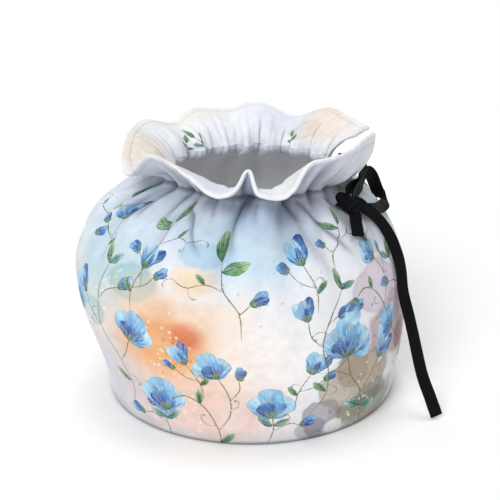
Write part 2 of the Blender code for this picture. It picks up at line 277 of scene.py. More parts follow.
def smooth(x: np.ndarray, xs: np.ndarray, ys: np.ndarray) -> np.ndarray:
    """Reads a table between its rows with a cubic curve that doesn't overshoot.

    Args:
        x: the places to read.
        xs: the rows' places, rising.
        ys: the rows' values.

    Returns:
        The values at x.
    """
    steps = np.diff(xs)
    slopes = np.diff(ys) / steps
    mean = (slopes[:-1] + slopes[1:]) / 2
    limit = 3 * np.minimum(abs(slopes[:-1]), abs(slopes[1:]))
    inner = np.where(slopes[:-1] * slopes[1:] > 0, np.clip(mean, -limit, limit), 0)
    tangents = np.concatenate([slopes[:1], inner, slopes[-1:]])
    i = np.clip(np.searchsorted(xs, x, side="right") - 1, 0, len(xs) - 2)
    t = (np.clip(x, xs[0], xs[-1]) - xs[i]) / steps[i]
    return (
        (1 + 2 * t) * (1 - t) ** 2 * ys[i]
        + t * (1 - t) ** 2 * steps[i] * tangents[i]
        + ease(t) * ys[i + 1]
        + t * t * (t - 1) * steps[i] * tangents[i + 1]
    )


def curve_through(rows: np.ndarray, steps: int) -> np.ndarray:
    """A smooth curve through the rows of a table.

    Args:
        rows: the points, one a row.
        steps: how many points of the curve for each span.

    Returns:
        The curve's points, the last row among them.
    """
    ends = np.concatenate([2 * rows[:1] - rows[1:2], rows, 2 * rows[-1:] - rows[-2:-1]])
    t = np.arange(steps)[:, None] / steps
    spans = [
        0.5
        * (
            2 * b
            + (c - a) * t
            + (2 * a - 5 * b + 4 * c - d) * t**2
            + (3 * b - a - 3 * c + d) * t**3
        )
        for a, b, c, d in zip(ends, ends[1:], ends[2:], ends[3:])
    ]
    return np.concatenate([*spans, rows[-1:]])


def linear(hex_colour: str) -> np.ndarray:
    """An sRGB hex colour such as #A1B2C3 as linear red, green and blue."""
    srgb = np.array([int(hex_colour[i : i + 2], 16) for i in (1, 3, 5)]) / 255
    return np.where(srgb <= 0.04045, srgb / 12.92, ((srgb + 0.055) / 1.055) ** 2.4)


def opaque(hex_colour: str) -> tuple[float, ...]:
    """An sRGB hex colour as a shader takes it."""
    return (*linear(hex_colour), 1)


def blots(x: np.ndarray, y: np.ndarray, seed: int, octaves: int = 4) -> np.ndarray:
    """Smooth uneven blots between 0 and 1, about one unit wide and finer within.

    Args:
        x: places across, in blot widths.
        y: places up, in blot widths.
        seed: which blots.
        octaves: how many finer layers.

    Returns:
        The blots' value at each place.
    """
    across_prime, up_prime, seed_prime, stir_prime = 374761393, 668265263, 69069, 1274126177
    word, half_word = 0xFFFFFFFF, 0xFFFF
    total, weight = np.zeros_like(x), 0.0
    for octave in range(octaves):
        u, v = x * 2**octave, y * 2**octave
        i, j = np.floor(u).astype(np.int64), np.floor(v).astype(np.int64)
        fu, fv = ease(u - i), ease(v - j)
        corners = []
        for di, dj in ((0, 0), (1, 0), (0, 1), (1, 1)):
            key = (i + di) * across_prime + (j + dj) * up_prime + (seed + octave) * seed_prime
            key = key & word
            key = ((key ^ (key >> 13)) * stir_prime) & word
            corners.append(((key ^ (key >> 16)) & half_word) / half_word)
        low = corners[0] * (1 - fu) + corners[1] * fu
        high = corners[2] * (1 - fu) + corners[3] * fu
        total += (low * (1 - fv) + high * fv) * 0.5**octave
        weight += 0.5**octave
    return total / weight


# ---- the form of the cloth


@dataclass(frozen=True)
class FoldShade:
    """The painted shade in folds, under the frill and at the bottom edge: how dark, from 0 to 1,
    and the mm over which it fades.
    """

    # painted shade in creases, folds and pleat troughs
    crease: float = 0.42
    crease_full: float = 5.5  # mm deep, where a crease is at its darkest
    fold: float = 0.55
    fine_wide: float = 2.3  # mm; narrower folds are fine and the others soft
    fine_full: float = 1.7
    soft_full: float = 3.0
    pleat: float = 0.38
    pleat_from: float = 0.4  # the pleats' wave below which their troughs start
    pleat_fade: tuple[float, float] = (30, 6)
    # painted shade under the frill, at the neck
    neck: float = 0.32
    neck_below: float = 3
    neck_fade: tuple[float, float] = (15, 1)
    # a painted dark line of shade in the groove at the throat
    groove: float = 0.5
    groove_below: float = 0.5
    groove_fade: tuple[float, float] = (3.6, 0.6)
    # painted shade along the bottom edge, where the cloth turns under
    foot: float = 0.35
    foot_fade: tuple[float, float] = (12.0, 1.0)
    foot_edge: float = 0.65
    foot_edge_fade: tuple[float, float] = (3.4, 0.6)
    # painted shade in the gathers of the inner side near the throat
    inside: float = 0.9
    inside_above: float = 4
    inside_fade: tuple[float, float] = (20, 2)
    inside_gathers: float = 0.7
    inside_pleats: float = 0.5
    inside_from: float = 0.25
    inside_power: float = 1.5


@dataclass
class ClothForm:
    """The shape in which the cloth stands. Every point has a turn about the axis and a station."""

    front_to_side: float = 0.95
    slit_turn: float = 3.0
    frill_length: float = 37.0
    half_thick: float = 1.0
    hem_half_thick: float = 1.15
    hem_fade: tuple[float, float] = (5.6, 4.0)  # mm from an edge, where the hem's thickness ends
    foot_round: float = 2.8  # mm over which the bottom edge turns under
    edge_least: float = 0.015  # the square of the share of its thickness left at the very edge
    stitch_dent: float = 0.16
    stitch_dent_wide: float = 0.9
    rim_seam: float = 4.2  # mm from the rim to its line of stitches
    slit_seam: float = 5.0
    pleat_count: int = 21
    pleat_drift: tuple[Wave, ...] = (Wave(2, 1.10, 0.4), Wave(3, 0.80, 2.1), Wave(5, 0.45, 4.0))
    pleat_uneven: tuple[Wave, ...] = (Wave(4, 0.26, 1.0), Wave(7, 0.20, 3.2))
    pleat_skew: float = 0.22  # makes the crests broader than the troughs
    pleat_scale: float = 1.3
    pleat_fade: float = 1.5  # how fast the pleats spread out up the frill
    gather_depth: float = 0.65  # the small gathers that the drawn ribbon leaves beside the pleats
    gather_count: int = 61
    gather_drift: Wave = Wave(7, 2.2, 0.0)
    gather_fine: Wave = Wave(97, 0.6, 1.3)
    gather_below: float = 0.6  # stations below the throat, where the gathers are deepest
    gather_reach: float = 1.5
    crease_edge: float = 0.8  # depth in mm of the sharp line along a crease
    crease_edge_wide: float = 1.5
    crease_start: tuple[float, float] = (5, 0.35)
    crease_spread: tuple[float, float] = (0.75, 0.7)  # share of its width at the neck, and growth
    fold_start: float = 0.06
    fold_power: float = 0.8
    fold_spread: tuple[float, float] = (0.8, 0.5)
    frill_level: float = 0.45  # the share of a fold's depth that lies level, the rest is height
    body_level: float = 0.85
    probe: float = 5e-4  # the step over which a slope is measured
    swells: tuple[Swell, ...] = (
        Swell(2, 1.0, 0.9, 0.3),
        Swell(3, 1.6, 0.7, 2.0),
        Swell(5, 2.3, 0.45, 4.4),
    )
    shades: FoldShade = field(default_factory=FoldShade)

    def __post_init__(self) -> None:
        """Reads the tables once, in metres."""
        self.stations = np.arange(len(MERIDIAN), dtype=float)
        self.throat = self.stations[-2]
        self.heights = column(MERIDIAN, "height") * MM
        self.radii = column(MERIDIAN, "radius") * MM
        self.shifts = column(MERIDIAN, "shift") * MM
        self.pleat_depths = column(MERIDIAN, "pleat") * MM
        self.fronts = column(MERIDIAN, "front") * MM
        self.backs = column(MERIDIAN, "back") * MM
        self.fine = np.linspace(0, self.throat, 2001)
        up, out = self.body(self.fine, self.heights), self.body(self.fine, self.radii)
        steps = np.hypot(np.diff(up), np.diff(out))
        self.length = np.concatenate([[0], np.cumsum(steps)]) / MM

    @property
    def body_length(self) -> float:
        """Length of the cloth from the hem to the throat, in mm."""
        return float(self.length[-1])

    @property
    def whole_length(self) -> float:
        """Length of the cloth from the hem to the rim, in mm."""
        return self.body_length + self.frill_length

    def body(self, station: np.ndarray, values: np.ndarray) -> np.ndarray:
        """Reads a column of the meridian at a station of the body, without the rim."""
        return smooth(station, self.stations[:-1], values[:-1])

    def station_at(self, up: np.ndarray) -> np.ndarray:
        """The station that lies up mm from the hem along the cloth."""
        beyond = (up - self.body_length) / self.frill_length
        return np.where(beyond > 0, self.throat + beyond, np.interp(up, self.length, self.fine))

    def up_at(self, station: np.ndarray) -> np.ndarray:
        """How far along the cloth a station lies from the hem, in mm."""
        beyond = np.maximum(station - self.throat, 0) * self.frill_length
        return np.interp(station, self.fine, self.length) + beyond

    def waves(self, turn: np.ndarray, table: Sequence[Wave]) -> np.ndarray:
        """The sum of a table's waves about the axis."""
        return sum(wave.swing * np.sin(wave.count * turn + wave.start) for wave in table)

    def pleat(self, turn: np.ndarray) -> np.ndarray:
        """The pleats as a wave between -1 and 1, uneven in width and depth."""
        phase = self.pleat_count * turn + self.waves(turn, self.pleat_drift)
        crest = np.cos(phase) - self.pleat_skew * np.cos(2 * phase)
        return crest * (1 + self.waves(turn, self.pleat_uneven)) / self.pleat_scale

    def gathers(self, turn: np.ndarray) -> np.ndarray:
        """The small gathers at the drawn ribbon, about 1 where the cloth stands out."""
        drift = self.waves(turn, (self.gather_drift,))
        return np.sin(self.gather_count * turn + drift) + self.waves(turn, (self.gather_fine,))

    def creases(self, turn: np.ndarray, height: np.ndarray, radius: np.ndarray) -> np.ndarray:
        """How far the creases draw the cloth in, each a soft trough with a sharper line in it."""
        depth = np.zeros_like(turn)
        neck = self.heights[-3]
        slope, start = self.crease_start
        share, growth = self.crease_spread
        for crease in CREASES:
            along = np.clip((neck - height) / (neck - crease.foot * MM), 0, 1)
            middle = np.radians(crease.at_neck + (crease.at_foot - crease.at_neck) * along)
            aside = wrapped(turn, middle, TURN) * radius
            fade = (1 - along) * (1 - along * along) * np.clip(along * slope + start, 0, 1)
            spread = crease.width * MM * (share + growth * along)
            line = self.crease_edge * bell(aside / (self.crease_edge_wide * MM))
            depth += fade * MM * (crease.depth * bell(aside / spread) + line)
        return depth

    def folds(self, turn: np.ndarray, up: np.ndarray, table: Sequence[Fold]) -> np.ndarray:
        """How far the folds draw the cloth in, in mm, at places on it."""
        depth = np.zeros_like(turn)
        around = smooth(up, self.up_at(self.stations), self.radii) / MM
        share, growth = self.fold_spread
        for fold in table:
            along = (up - fold.up) / (fold.far_up - fold.up)
            middle = np.radians(fold.turn + (fold.far_turn - fold.turn) * along)
            aside = wrapped(turn, middle, TURN) * around
            begun = np.clip(along * (1 - self.fold_start) + self.fold_start, 0, 1)
            fade = np.sin(math.pi * begun) ** self.fold_power
            spread = fold.width * (share + growth * np.clip(along, 0, 1))
            depth += fade * fold.depth * bell(aside / spread)
        return depth

    def shade(self, turn: np.ndarray, station: np.ndarray) -> np.ndarray:
        """How much painted shade the cloth's outer side gets, from 0 to 1: in creases, folds and
        pleats, under the frill at the neck and along the bottom edge.
        """
        look, up, top = self.shades, self.up_at(station), self.body_length
        radius = smooth(station, self.stations, self.radii)
        height = self.body(np.minimum(station, self.throat), self.heights)
        creases = np.where(up < top, self.creases(turn, height, radius) / MM / look.crease_full, 0)
        inward = [fold for fold in FOLDS if fold.depth > 0]
        fine = [fold for fold in inward if fold.width < look.fine_wide]
        soft = [fold for fold in inward if fold.width >= look.fine_wide]
        folds = self.folds(turn, up, fine) / look.fine_full
        folds = folds + self.folds(turn, up, soft) / look.soft_full
        groove = step_up(abs(up - top + look.groove_below), *look.groove_fade)
        troughs = np.clip(look.pleat_from - self.pleat(turn), 0, 1)
        pleats = troughs * step_up(abs(up - top), *look.pleat_fade)
        neck = step_up(abs(up - top + look.neck_below), *look.neck_fade)
        foot = look.foot * step_up(up, *look.foot_fade)
        foot = foot + look.foot_edge * step_up(up, *look.foot_edge_fade)
        deep = look.crease * creases + look.fold * folds + look.pleat * pleats + look.neck * neck
        return np.clip(deep + look.groove * groove + foot, 0, 1)

    def shade_inside(self, turn: np.ndarray, station: np.ndarray) -> np.ndarray:
        """How much painted shade the cloth's inner side gets in its gathers near the throat, from 0
        to 1.
        """
        look = self.shades
        near = step_up(
            abs(self.up_at(station) - self.body_length - look.inside_above), *look.inside_fade
        )
        lines = look.inside_gathers * self.gathers(turn) + look.inside_pleats * self.pleat(turn)
        lines = np.clip(lines - look.inside_from, 0, 1) ** look.inside_power
        return np.clip(look.inside * near * lines, 0, 1)

    def swell(self, turn: np.ndarray, height: np.ndarray) -> np.ndarray:
        """The soft unevenness of the padded body."""
        up = height / self.heights[-2]
        fade = np.sin(math.pi * np.clip(up, 0, 1))
        return fade * sum(
            row.depth * MM * np.sin(row.count * turn + row.rise * math.pi * up + row.start)
            for row in self.swells
        )

    def place(self, turn: np.ndarray, station: np.ndarray) -> np.ndarray:
        """Points of the cloth's middle layer.

        Args:
            turn: angles about the axis, in radians.
            station: places along the meridian.

        Returns:
            The points, in metres, in a last axis of three.
        """
        low = np.minimum(station, self.throat)
        height, radius = self.body(low, self.heights), self.body(low, self.radii)
        shift, deep = self.body(low, self.shifts), self.body(low, self.pleat_depths)
        out = np.clip(station - self.throat, 0, 1)
        inward = self.swell(turn, height) - self.creases(turn, height, radius)
        radius = radius + np.where(out > 0, 0, inward)

        first = RIM[0].turn
        degrees = np.mod(np.degrees(turn) - first, 360) + first
        rim_radius, rim_height, sooner = (
            smooth(degrees, column(RIM, "turn"), column(RIM, name))
            for name in ("radius", "height", "sooner")
        )
        spread = out - sooner * out * (1 - out)
        rise = out + sooner * out * (1 - out)
        radius = radius + (rim_radius * MM - self.radii[-2]) * spread
        height = height + (rim_height * MM - self.heights[-2]) * rise
        radius = radius + deep * self.pleat(turn) * (1 - out) ** self.pleat_fade
        gathered = bell((station - self.throat + self.gather_below) / self.gather_reach)
        radius = radius + self.gather_depth * MM * gathered * self.gathers(turn)
        drawn = self.folds(turn, self.up_at(station), FOLDS) * MM
        level = np.where(out > 0, self.frill_level, self.body_level)
        radius = radius - drawn * level
        height = height + drawn * (1 - level)

        x = shift + radius * np.cos(turn)
        y = self.front_to_side * radius * np.sin(turn)
        return np.stack([x, y, height], axis=-1)

    def normal(self, turn: np.ndarray, station: np.ndarray) -> np.ndarray:
        """Outward unit normals of the middle layer."""
        step = self.probe
        around = self.place(turn + step, station) - self.place(turn - step, station)
        top = self.stations[-1]
        up = self.place(turn, np.minimum(station + step, top)) - self.place(
            turn, np.maximum(station - step, 0)
        )
        return unit(np.cross(around, up))

    def edges(self, station: np.ndarray) -> tuple[np.ndarray, np.ndarray]:
        """Turns of the slit's back edge and of its front edge, a whole turn on, at each station."""
        radius = smooth(station, self.stations, self.radii)
        middle = math.radians(self.slit_turn)
        back = middle + smooth(station, self.stations, self.backs) / radius
        front = middle + TURN - smooth(station, self.stations, self.fronts) / radius
        return back, front

    def slit_open(self, station: np.ndarray) -> np.ndarray:
        """How wide the slit is at a station, in mm."""
        back, front = (smooth(station, self.stations, side) for side in (self.backs, self.fronts))
        return (back + front) / MM


# ---- the print


class Petals(Enum):
    """The blossoms of the print, by how they are seen."""

    FAN = "fan"
    BELL = "bell"
    BUD = "bud"


class Wash(NamedTuple):
    """A wash of watercolour on the cloth: mm across and up, its half sizes, colour and edge."""

    across: float
    up: float
    wide: float
    high: float
    colour: str
    strength: float
    soft: float
    seed: int


class Splash(NamedTuple):
    """Fine drops about a place: mm across and up, spread and largest drop in mm, count, colour."""

    across: float
    up: float
    spread: float
    largest: float
    count: int
    colour: str
    seed: int


class Bloom(NamedTuple):
    """A blossom on a spray: its place in mm, size in mm and angle in degrees."""

    across: float
    up: float
    size: float
    angle: float
    kind: Petals


class Leaf(NamedTuple):
    """A leaf on a spray: the foot of its stalk in mm, length in mm, angle in degrees, colour."""

    across: float
    up: float
    length: float
    angle: float
    tone: float


class Stem(NamedTuple):
    """A stem or tendril on a spray: points in mm, width in mm and tone."""

    points: tuple[tuple[float, float], ...]
    width: float
    tone: float


class Curl(NamedTuple):
    """A tendril: its foot in mm, direction in degrees, size in mm and turns, left if under 0."""

    across: float
    up: float
    angle: float
    size: float
    turns: float


@dataclass(frozen=True)
class Spray:
    """One spray of the print, drawn upright from its foot."""

    stems: tuple[Stem, ...]
    blooms: tuple[Bloom, ...]
    leaves: tuple[Leaf, ...]
    curls: tuple[Curl, ...]


class Placing(NamedTuple):
    """A spray's place on the cloth: mm across and up, lean in degrees, size, and -1 if flipped."""

    spray: str
    across: float
    up: float
    lean: float
    size: float
    flip: int


GREEN, BARK, VEIN = 0.0, 0.5, 1.0

SPRAYS: dict[str, Spray] = {
    "climber": Spray(
        stems=(
            Stem(((0, 0), (7, 16), (4, 36), (-4, 54), (-2, 74), (5, 92)), 1.0, GREEN),
            Stem(((4.6, 33), (13, 41), (19, 50)), 0.8, GREEN),
            Stem(((-3.6, 53), (-13, 60), (-17, 70)), 0.8, GREEN),
            Stem(((-2.4, 70), (6, 77), (15, 80)), 0.7, BARK),
        ),
        blooms=(
            Bloom(19, 50, 19, -34, Petals.FAN),
            Bloom(-17, 70, 15, 28, Petals.BELL),
            Bloom(15, 80, 11, -62, Petals.BUD),
        ),
        leaves=(
            Leaf(6.4, 20, 13, 150, 0.2),
            Leaf(5, 92, 14, 112, 0.1),
            Leaf(5, 92, 12, 38, 0.6),
        ),
        curls=(Curl(-1, 62, 150, 11, 1.6), Curl(6, 24, 20, 9, -1.4)),
    ),
    "pair": Spray(
        stems=(
            Stem(((0, 0), (-5, 14), (-3, 30), (4, 44), (5, 58)), 1.0, GREEN),
            Stem(((-3.4, 28), (-12, 38), (-19, 46)), 0.8, GREEN),
            Stem(((3.6, 43), (12, 50), (21, 52)), 0.7, BARK),
        ),
        blooms=(
            Bloom(5, 58, 23, 6, Petals.FAN),
            Bloom(-19, 46, 17, 48, Petals.BELL),
        ),
        leaves=(
            Leaf(-4.6, 18, 17, 34, 0.8),
            Leaf(-4.6, 18, 15, 196, 0.9),
        ),
        curls=(Curl(20, 52, 10, 9, 1.8),),
    ),
    "nodding": Spray(
        stems=(
            Stem(((0, 0), (2, 18), (9, 34), (20, 42), (30, 38)), 1.0, GREEN),
            Stem(((2, 18), (-6, 30), (-7, 44), (-3, 56)), 0.9, GREEN),
            Stem(((-7, 40), (-14, 48), (-15, 55)), 0.7, GREEN),
        ),
        blooms=(
            Bloom(30, 38, 20, -128, Petals.BELL),
            Bloom(-3, 56, 17, -16, Petals.FAN),
            Bloom(-15, 55, 10, 24, Petals.BUD),
        ),
        leaves=(
            Leaf(1, 9, 12, 140, 0.3),
            Leaf(12, 37, 11, 96, 0.4),
        ),
        curls=(Curl(-6, 34, 176, 8, -1.5), Curl(3, 22, 350, 10, 1.3)),
    ),
    "leafy": Spray(
        stems=(
            Stem(((0, 0), (-4, 16), (2, 32), (0, 48)), 0.9, GREEN),
            Stem(((1.6, 30), (12, 38), (24, 38), (34, 44)), 0.7, BARK),
            Stem(((-3.4, 15), (-12, 20)), 0.7, GREEN),
        ),
        blooms=(Bloom(-12, 20, 13, 76, Petals.BUD),),
        leaves=(
            Leaf(0, 48, 22, 96, 0.0),
            Leaf(1, 42, 20, 172, 0.5),
            Leaf(12, 38, 9, 60, 0.4),
        ),
        curls=(Curl(33, 43, 24, 8, -1.7), Curl(22, 38, 300, 7, -1.2)),
    ),
    "twig": Spray(
        stems=(
            Stem(((2, -4), (4, 8), (1, 22)), 0.8, GREEN),
            Stem(((3.6, 9), (-4, 14), (-8, 20)), 0.7, GREEN),
        ),
        blooms=(Bloom(1, 22, 15, 10, Petals.BELL), Bloom(-8, 20, 9, 46, Petals.BUD)),
        leaves=(Leaf(3.6, 6, 9, 30, 0.3),),
        curls=(Curl(3.2, 12, 40, 6, -1.5),),
    ),
    "sprig": Spray(
        stems=(Stem(((0, -8), (1.5, 4), (0, 14)), 0.8, GREEN),),
        blooms=(),
        leaves=(Leaf(0, 13, 15, 98, 0.2), Leaf(1.2, 5, 13, 46, 0.3), Leaf(1, 3, 11, 150, 0.8)),
        curls=(Curl(0.5, 9, 160, 6, 1.3),),
    ),
    "low": Spray(
        stems=(
            Stem(((0, -6), (2, 6), (0, 16)), 0.9, GREEN),
            Stem(((1.8, 4), (12, 10), (20, 9)), 0.7, GREEN),
        ),
        blooms=(Bloom(0, 14, 22, 4, Petals.FAN), Bloom(20, 9, 12, -70, Petals.BUD)),
        leaves=(Leaf(1.4, 8, 13, 150, 0.7), Leaf(1.4, 8, 12, 30, 0.9)),
        curls=(Curl(11, 10, 60, 7, 1.4),),
    ),
}


@dataclass(frozen=True)
class FlowerPrint:
    """The cloth's print: soft washes, and sprays that repeat twice about the cosy."""

    repeat: float = 296.0
    paper: str = "#ECEEF2"
    reach: float = 3.0  # how far beyond a motif its nearness is kept, in mm
    edge_noise: tuple[tuple[float, float, int, int], ...] = (
        (17, 9, 0, 4),  # blots: mm wide, where they start, seed and layers
        (5, 3, 1, 3),  # grain
    )
    edge_blots: float = 0.75
    edge_grain: float = 0.16
    rim_wide: float = 0.05  # the dark line where a wash dried, as a share of its half size
    rim_soft: float = 0.3  # edges as soft as this have no such line
    rim_dark: float = 0.9
    grain_tint: float = 0.25
    cover: float = 0.8
    cover_blots: float = 0.5
    drop_cover: float = 0.8
    drop_least: float = 0.45  # the smallest drop, as a share of the largest
    drop_edge: float = 0.25
    speckle_wide: float = 2.4
    speckle_tint: float = 0.05
    washes: tuple[Wash, ...] = (
        Wash(-88, 138, 58, 38, "#C3D3E6", 0.85, 0.55, 3),
        Wash(-96, 96, 40, 26, "#A9CDD6", 0.70, 0.50, 7),
        Wash(-66, 96, 20, 11, "#7DB6BD", 0.70, 0.15, 11),
        Wash(6, 128, 44, 27, "#A8D0E8", 0.75, 0.50, 15),
        Wash(30, 150, 50, 18, "#B9C2DC", 0.60, 0.50, 19),
        Wash(84, 132, 34, 22, "#C9CCE0", 0.60, 0.55, 23),
        Wash(-40, 62, 50, 34, "#F3C796", 0.85, 0.50, 27),
        Wash(-46, 64, 26, 20, "#E89A45", 0.85, 0.45, 31),
        Wash(-31, 71, 9, 8, "#D4592F", 0.80, 0.50, 35),
        Wash(-26, 104, 14, 8, "#F0C98A", 0.65, 0.45, 37),
        Wash(-34, 24, 52, 22, "#EBC3B2", 0.85, 0.40, 39),
        Wash(-98, 30, 34, 30, "#C5BCCB", 0.75, 0.55, 43),
        Wash(68, 34, 26, 25, "#A8906F", 0.85, 0.05, 47),
        Wash(42, 14, 16, 13, "#8F8A96", 0.80, 0.05, 51),
        Wash(84, 11, 30, 13, "#7F7B62", 0.85, 0.30, 55),
        Wash(104, 60, 26, 21, "#A9757E", 0.80, 0.12, 59),
        Wash(90, 88, 24, 15, "#CDB6CB", 0.80, 0.08, 63),
        Wash(12, 60, 30, 26, "#FBF7F5", 0.80, 0.55, 67),
        Wash(64, 44, 13, 12, "#8C7455", 0.55, 0.06, 103),
        Wash(82, 20, 15, 9, "#5F604E", 0.60, 0.15, 105),
        Wash(36, 8, 9, 7, "#6E6A78", 0.60, 0.05, 107),
        Wash(52, 6, 8, 6, "#F5F4F2", 0.85, 0.05, 109),
        Wash(112, 48, 9, 10, "#7C4250", 0.65, 0.12, 111),
        Wash(-20, 118, 18, 7, "#8FBBD6", 0.55, 0.20, 113),
        Wash(-100, 70, 15, 9, "#8DBDC0", 0.55, 0.12, 115),
        Wash(132, 100, 26, 40, "#B5D3E2", 0.65, 0.50, 71),
        Wash(-136, 66, 20, 28, "#EBC7AE", 0.60, 0.50, 75),
        Wash(0, 192, 130, 20, "#DCE3F0", 0.70, 0.60, 79),
        # these two grey-lavender washes about the neck and the frill are partly print and partly
        # painted shade under the frill
        Wash(-70, 182, 60, 26, "#CACCD6", 0.60, 0.50, 83),
        Wash(60, 180, 42, 22, "#CDD1DE", 0.60, 0.50, 87),
        Wash(-12, 174, 22, 12, "#B9C8E4", 0.45, 0.45, 89),
        Wash(-88, 228, 28, 20, "#E2D6C4", 0.80, 0.35, 91),
        Wash(133, 230, 27, 16, "#EBD8C6", 0.80, 0.25, 93),
        Wash(112, 220, 16, 8, "#D8CBBB", 0.60, 0.12, 95),
        Wash(40, 234, 40, 12, "#E6EAF2", 0.60, 0.50, 97),
        Wash(84, 226, 22, 12, "#C4CCE6", 0.50, 0.45, 99),
        Wash(12, 238, 26, 9, "#EFE7D2", 0.50, 0.45, 101),
    )
    splashes: tuple[Splash, ...] = (
        Splash(-44, 62, 18, 0.9, 26, "#FBF4EC", 5),
        Splash(-38, 58, 15, 0.8, 18, "#C9622F", 6),
        Splash(-34, 20, 26, 0.8, 22, "#FAF6F4", 7),
        Splash(58, 20, 22, 0.9, 24, "#6E6A62", 8),
        Splash(74, 14, 24, 1.0, 30, "#F4F1EA", 9),
        Splash(-84, 92, 18, 0.8, 18, "#F6FAFB", 10),
        Splash(96, 66, 16, 0.9, 14, "#7A4450", 11),
        Splash(20, 100, 30, 0.7, 14, "#8FB6D6", 12),
    )
    placings: tuple[Placing, ...] = (
        Placing("climber", -84, 10, 4, 1.0, 1),
        Placing("leafy", -58, 96, -8, 0.82, 1),
        Placing("nodding", -18, -8, 2, 0.96, -1),
        Placing("climber", 34, 18, -16, 0.86, 1),
        Placing("pair", 70, -4, 6, 1.0, -1),
        Placing("nodding", 96, 62, 10, 0.74, -1),
        Placing("low", 10, 6, -6, 0.9, 1),
        Placing("low", -52, 4, 8, 1.0, -1),
        Placing("leafy", 0, 72, 14, 0.9, -1),
        Placing("pair", -128, 12, -4, 0.9, 1),
        Placing("climber", 122, 14, 6, 0.92, -1),
        Placing("leafy", -122, 96, 6, 0.8, -1),
        Placing("leafy", 60, 104, -20, 0.6, 1),
        Placing("twig", -98, 104, 10, 0.95, 1),
        Placing("twig", -62, 84, -12, 1.0, -1),
        Placing("twig", 40, 88, 8, 1.05, 1),
        Placing("twig", 28, 26, -22, 1.0, -1),
        Placing("twig", 98, 108, 6, 0.9, -1),
        Placing("twig", -30, 34, 14, 0.9, 1),
        Placing("twig", 148, 60, 0, 1.0, 1),
        Placing("sprig", -4, 206, 12, 0.9, 1),
        Placing("sprig", -22, 205, -20, 0.7, -1),
        Placing("sprig", 104, 207, 16, 0.6, 1),
    )

    def ground(self, across: np.ndarray, up: np.ndarray) -> np.ndarray:
        """The washes' colour.

        Args:
            across: places across the cloth, in mm.
            up: places up the cloth, in mm.

        Returns:
            Linear colours in a last axis of three.
        """
        colour = np.tile(linear(self.paper), (across.size, 1))
        for wash in self.washes:
            aside, rise = wrapped(across, wash.across, self.repeat), up - wash.up
            uneven, fine = (
                blots(aside / wide + start, rise / wide + start, wash.seed + more, layers) - 0.5
                for wide, start, more, layers in self.edge_noise
            )
            far = np.hypot(aside / wash.wide, rise / wash.high)
            far = far + self.edge_blots * uneven + self.edge_grain * fine
            cover = step_up(far, 1 + wash.soft, 1 - wash.soft)
            rim = bell((far - 1 + wash.soft) / self.rim_wide) * max(0, self.rim_soft - wash.soft)
            tint = 1 - self.rim_dark * rim[:, None]
            tint = linear(wash.colour) * tint * (1 + self.grain_tint * fine[:, None])
            share = (cover * wash.strength * (self.cover + self.cover_blots * uneven))[:, None]
            colour = colour * (1 - share) + tint * share
        for splash in self.splashes:
            chance = np.random.default_rng(splash.seed)
            reach = splash.spread / 2
            for aside, rise, share in chance.normal(size=(splash.count, 3)):
                size = self.drop_least + (1 - self.drop_least) * math.exp(-abs(share))
                size, soft = splash.largest * size, self.drop_edge
                far = np.hypot(
                    wrapped(across, splash.across + aside * reach, self.repeat),
                    up - splash.up - rise * reach,
                )
                cover = (self.drop_cover * step_up(far, size + soft, size - soft))[:, None]
                colour = colour * (1 - cover) + linear(splash.colour) * cover
        speckle = blots(across / self.speckle_wide, up / self.speckle_wide, 5, 2)[:, None] - 0.5
        return np.clip(colour * (1 + self.speckle_tint * speckle), 0, 1)


class Petal(NamedTuple):
    """A petal of a blossom: radians aside, length and width as shares of its size, and colours."""

    aside: float
    length: float
    width: float
    colours: tuple[str, str, str]


class Brush(NamedTuple):
    """How a petal or leaf is painted.

    Its width grows from the foot by the power rise and shrinks to the tip by the power fall. Its
    edge is uneven by the share ruffle, and its streaks spread from the foot where fan is 1 and run
    along it where fan is 0.
    """

    rise: float
    fall: float
    ruffle: float
    fan: float


DEEP, CLEAR, PALE, INK = "#2874B6", "#70B1DC", "#B6D9EC", "#1B478F"
NAVY = "#214E96"

PETALS = {
    Petals.FAN: (
        Petal(-0.66, 0.90, 0.66, (CLEAR, "#8CC1E2", "#BDDDEE")),
        Petal(0.66, 0.92, 0.70, (DEEP, "#72B0DA", PALE)),
        Petal(-0.05, 1.05, 0.76, (DEEP, CLEAR, "#98C8E4")),
        Petal(0.78, 0.60, 0.30, (DEEP, INK, NAVY)),
        Petal(-0.40, 0.66, 0.44, (INK, DEEP, CLEAR)),
        Petal(0.36, 0.60, 0.40, (INK, "#2459A0", "#4C92CC")),
    ),
    Petals.BELL: (
        Petal(0.40, 1.00, 0.50, (DEEP, CLEAR, PALE)),
        Petal(-0.36, 1.10, 0.46, (CLEAR, DEEP, INK)),
        Petal(0.02, 0.95, 0.48, ("#3C86C2", "#7FBAE0", PALE)),
        Petal(-0.14, 0.62, 0.24, (INK, NAVY, DEEP)),
    ),
    Petals.BUD: (
        Petal(0.14, 1.00, 0.50, ("#2D73B6", "#4790C8", "#82BBE0")),
        Petal(-0.18, 0.90, 0.40, (INK, "#235499", "#2D70B4")),
    ),
}
NARROW = Brush(0.6, 0.45, 0.10, 0.8)
PETAL_BRUSHES = {
    Petals.FAN: Brush(0.75, 0.32, 0.10, 1.0),
    Petals.BELL: NARROW,
    Petals.BUD: NARROW,
}
SEPALS = ((-0.7, 0.26), (0.75, 0.24), (0.0, 0.20))  # radians aside, and length as a share
SEPAL_LEAST, SEPAL_WIDE = 1.0, 2.0  # mm
SEPAL_COLOURS = ("#3C6A34", "#4F8242", "#7FA65F")
SEPAL_BRUSH = Brush(0.5, 0.7, 0.0, 0.0)
LEAF_BRUSH = Brush(0.85, 0.8, 0.05, 0.15)
FRESH_LEAF = ("#2F6434", "#5E9450", "#A3C48A")
COOL_LEAF = ("#2F6A5C", "#5F9D8B", "#A8CDBD")


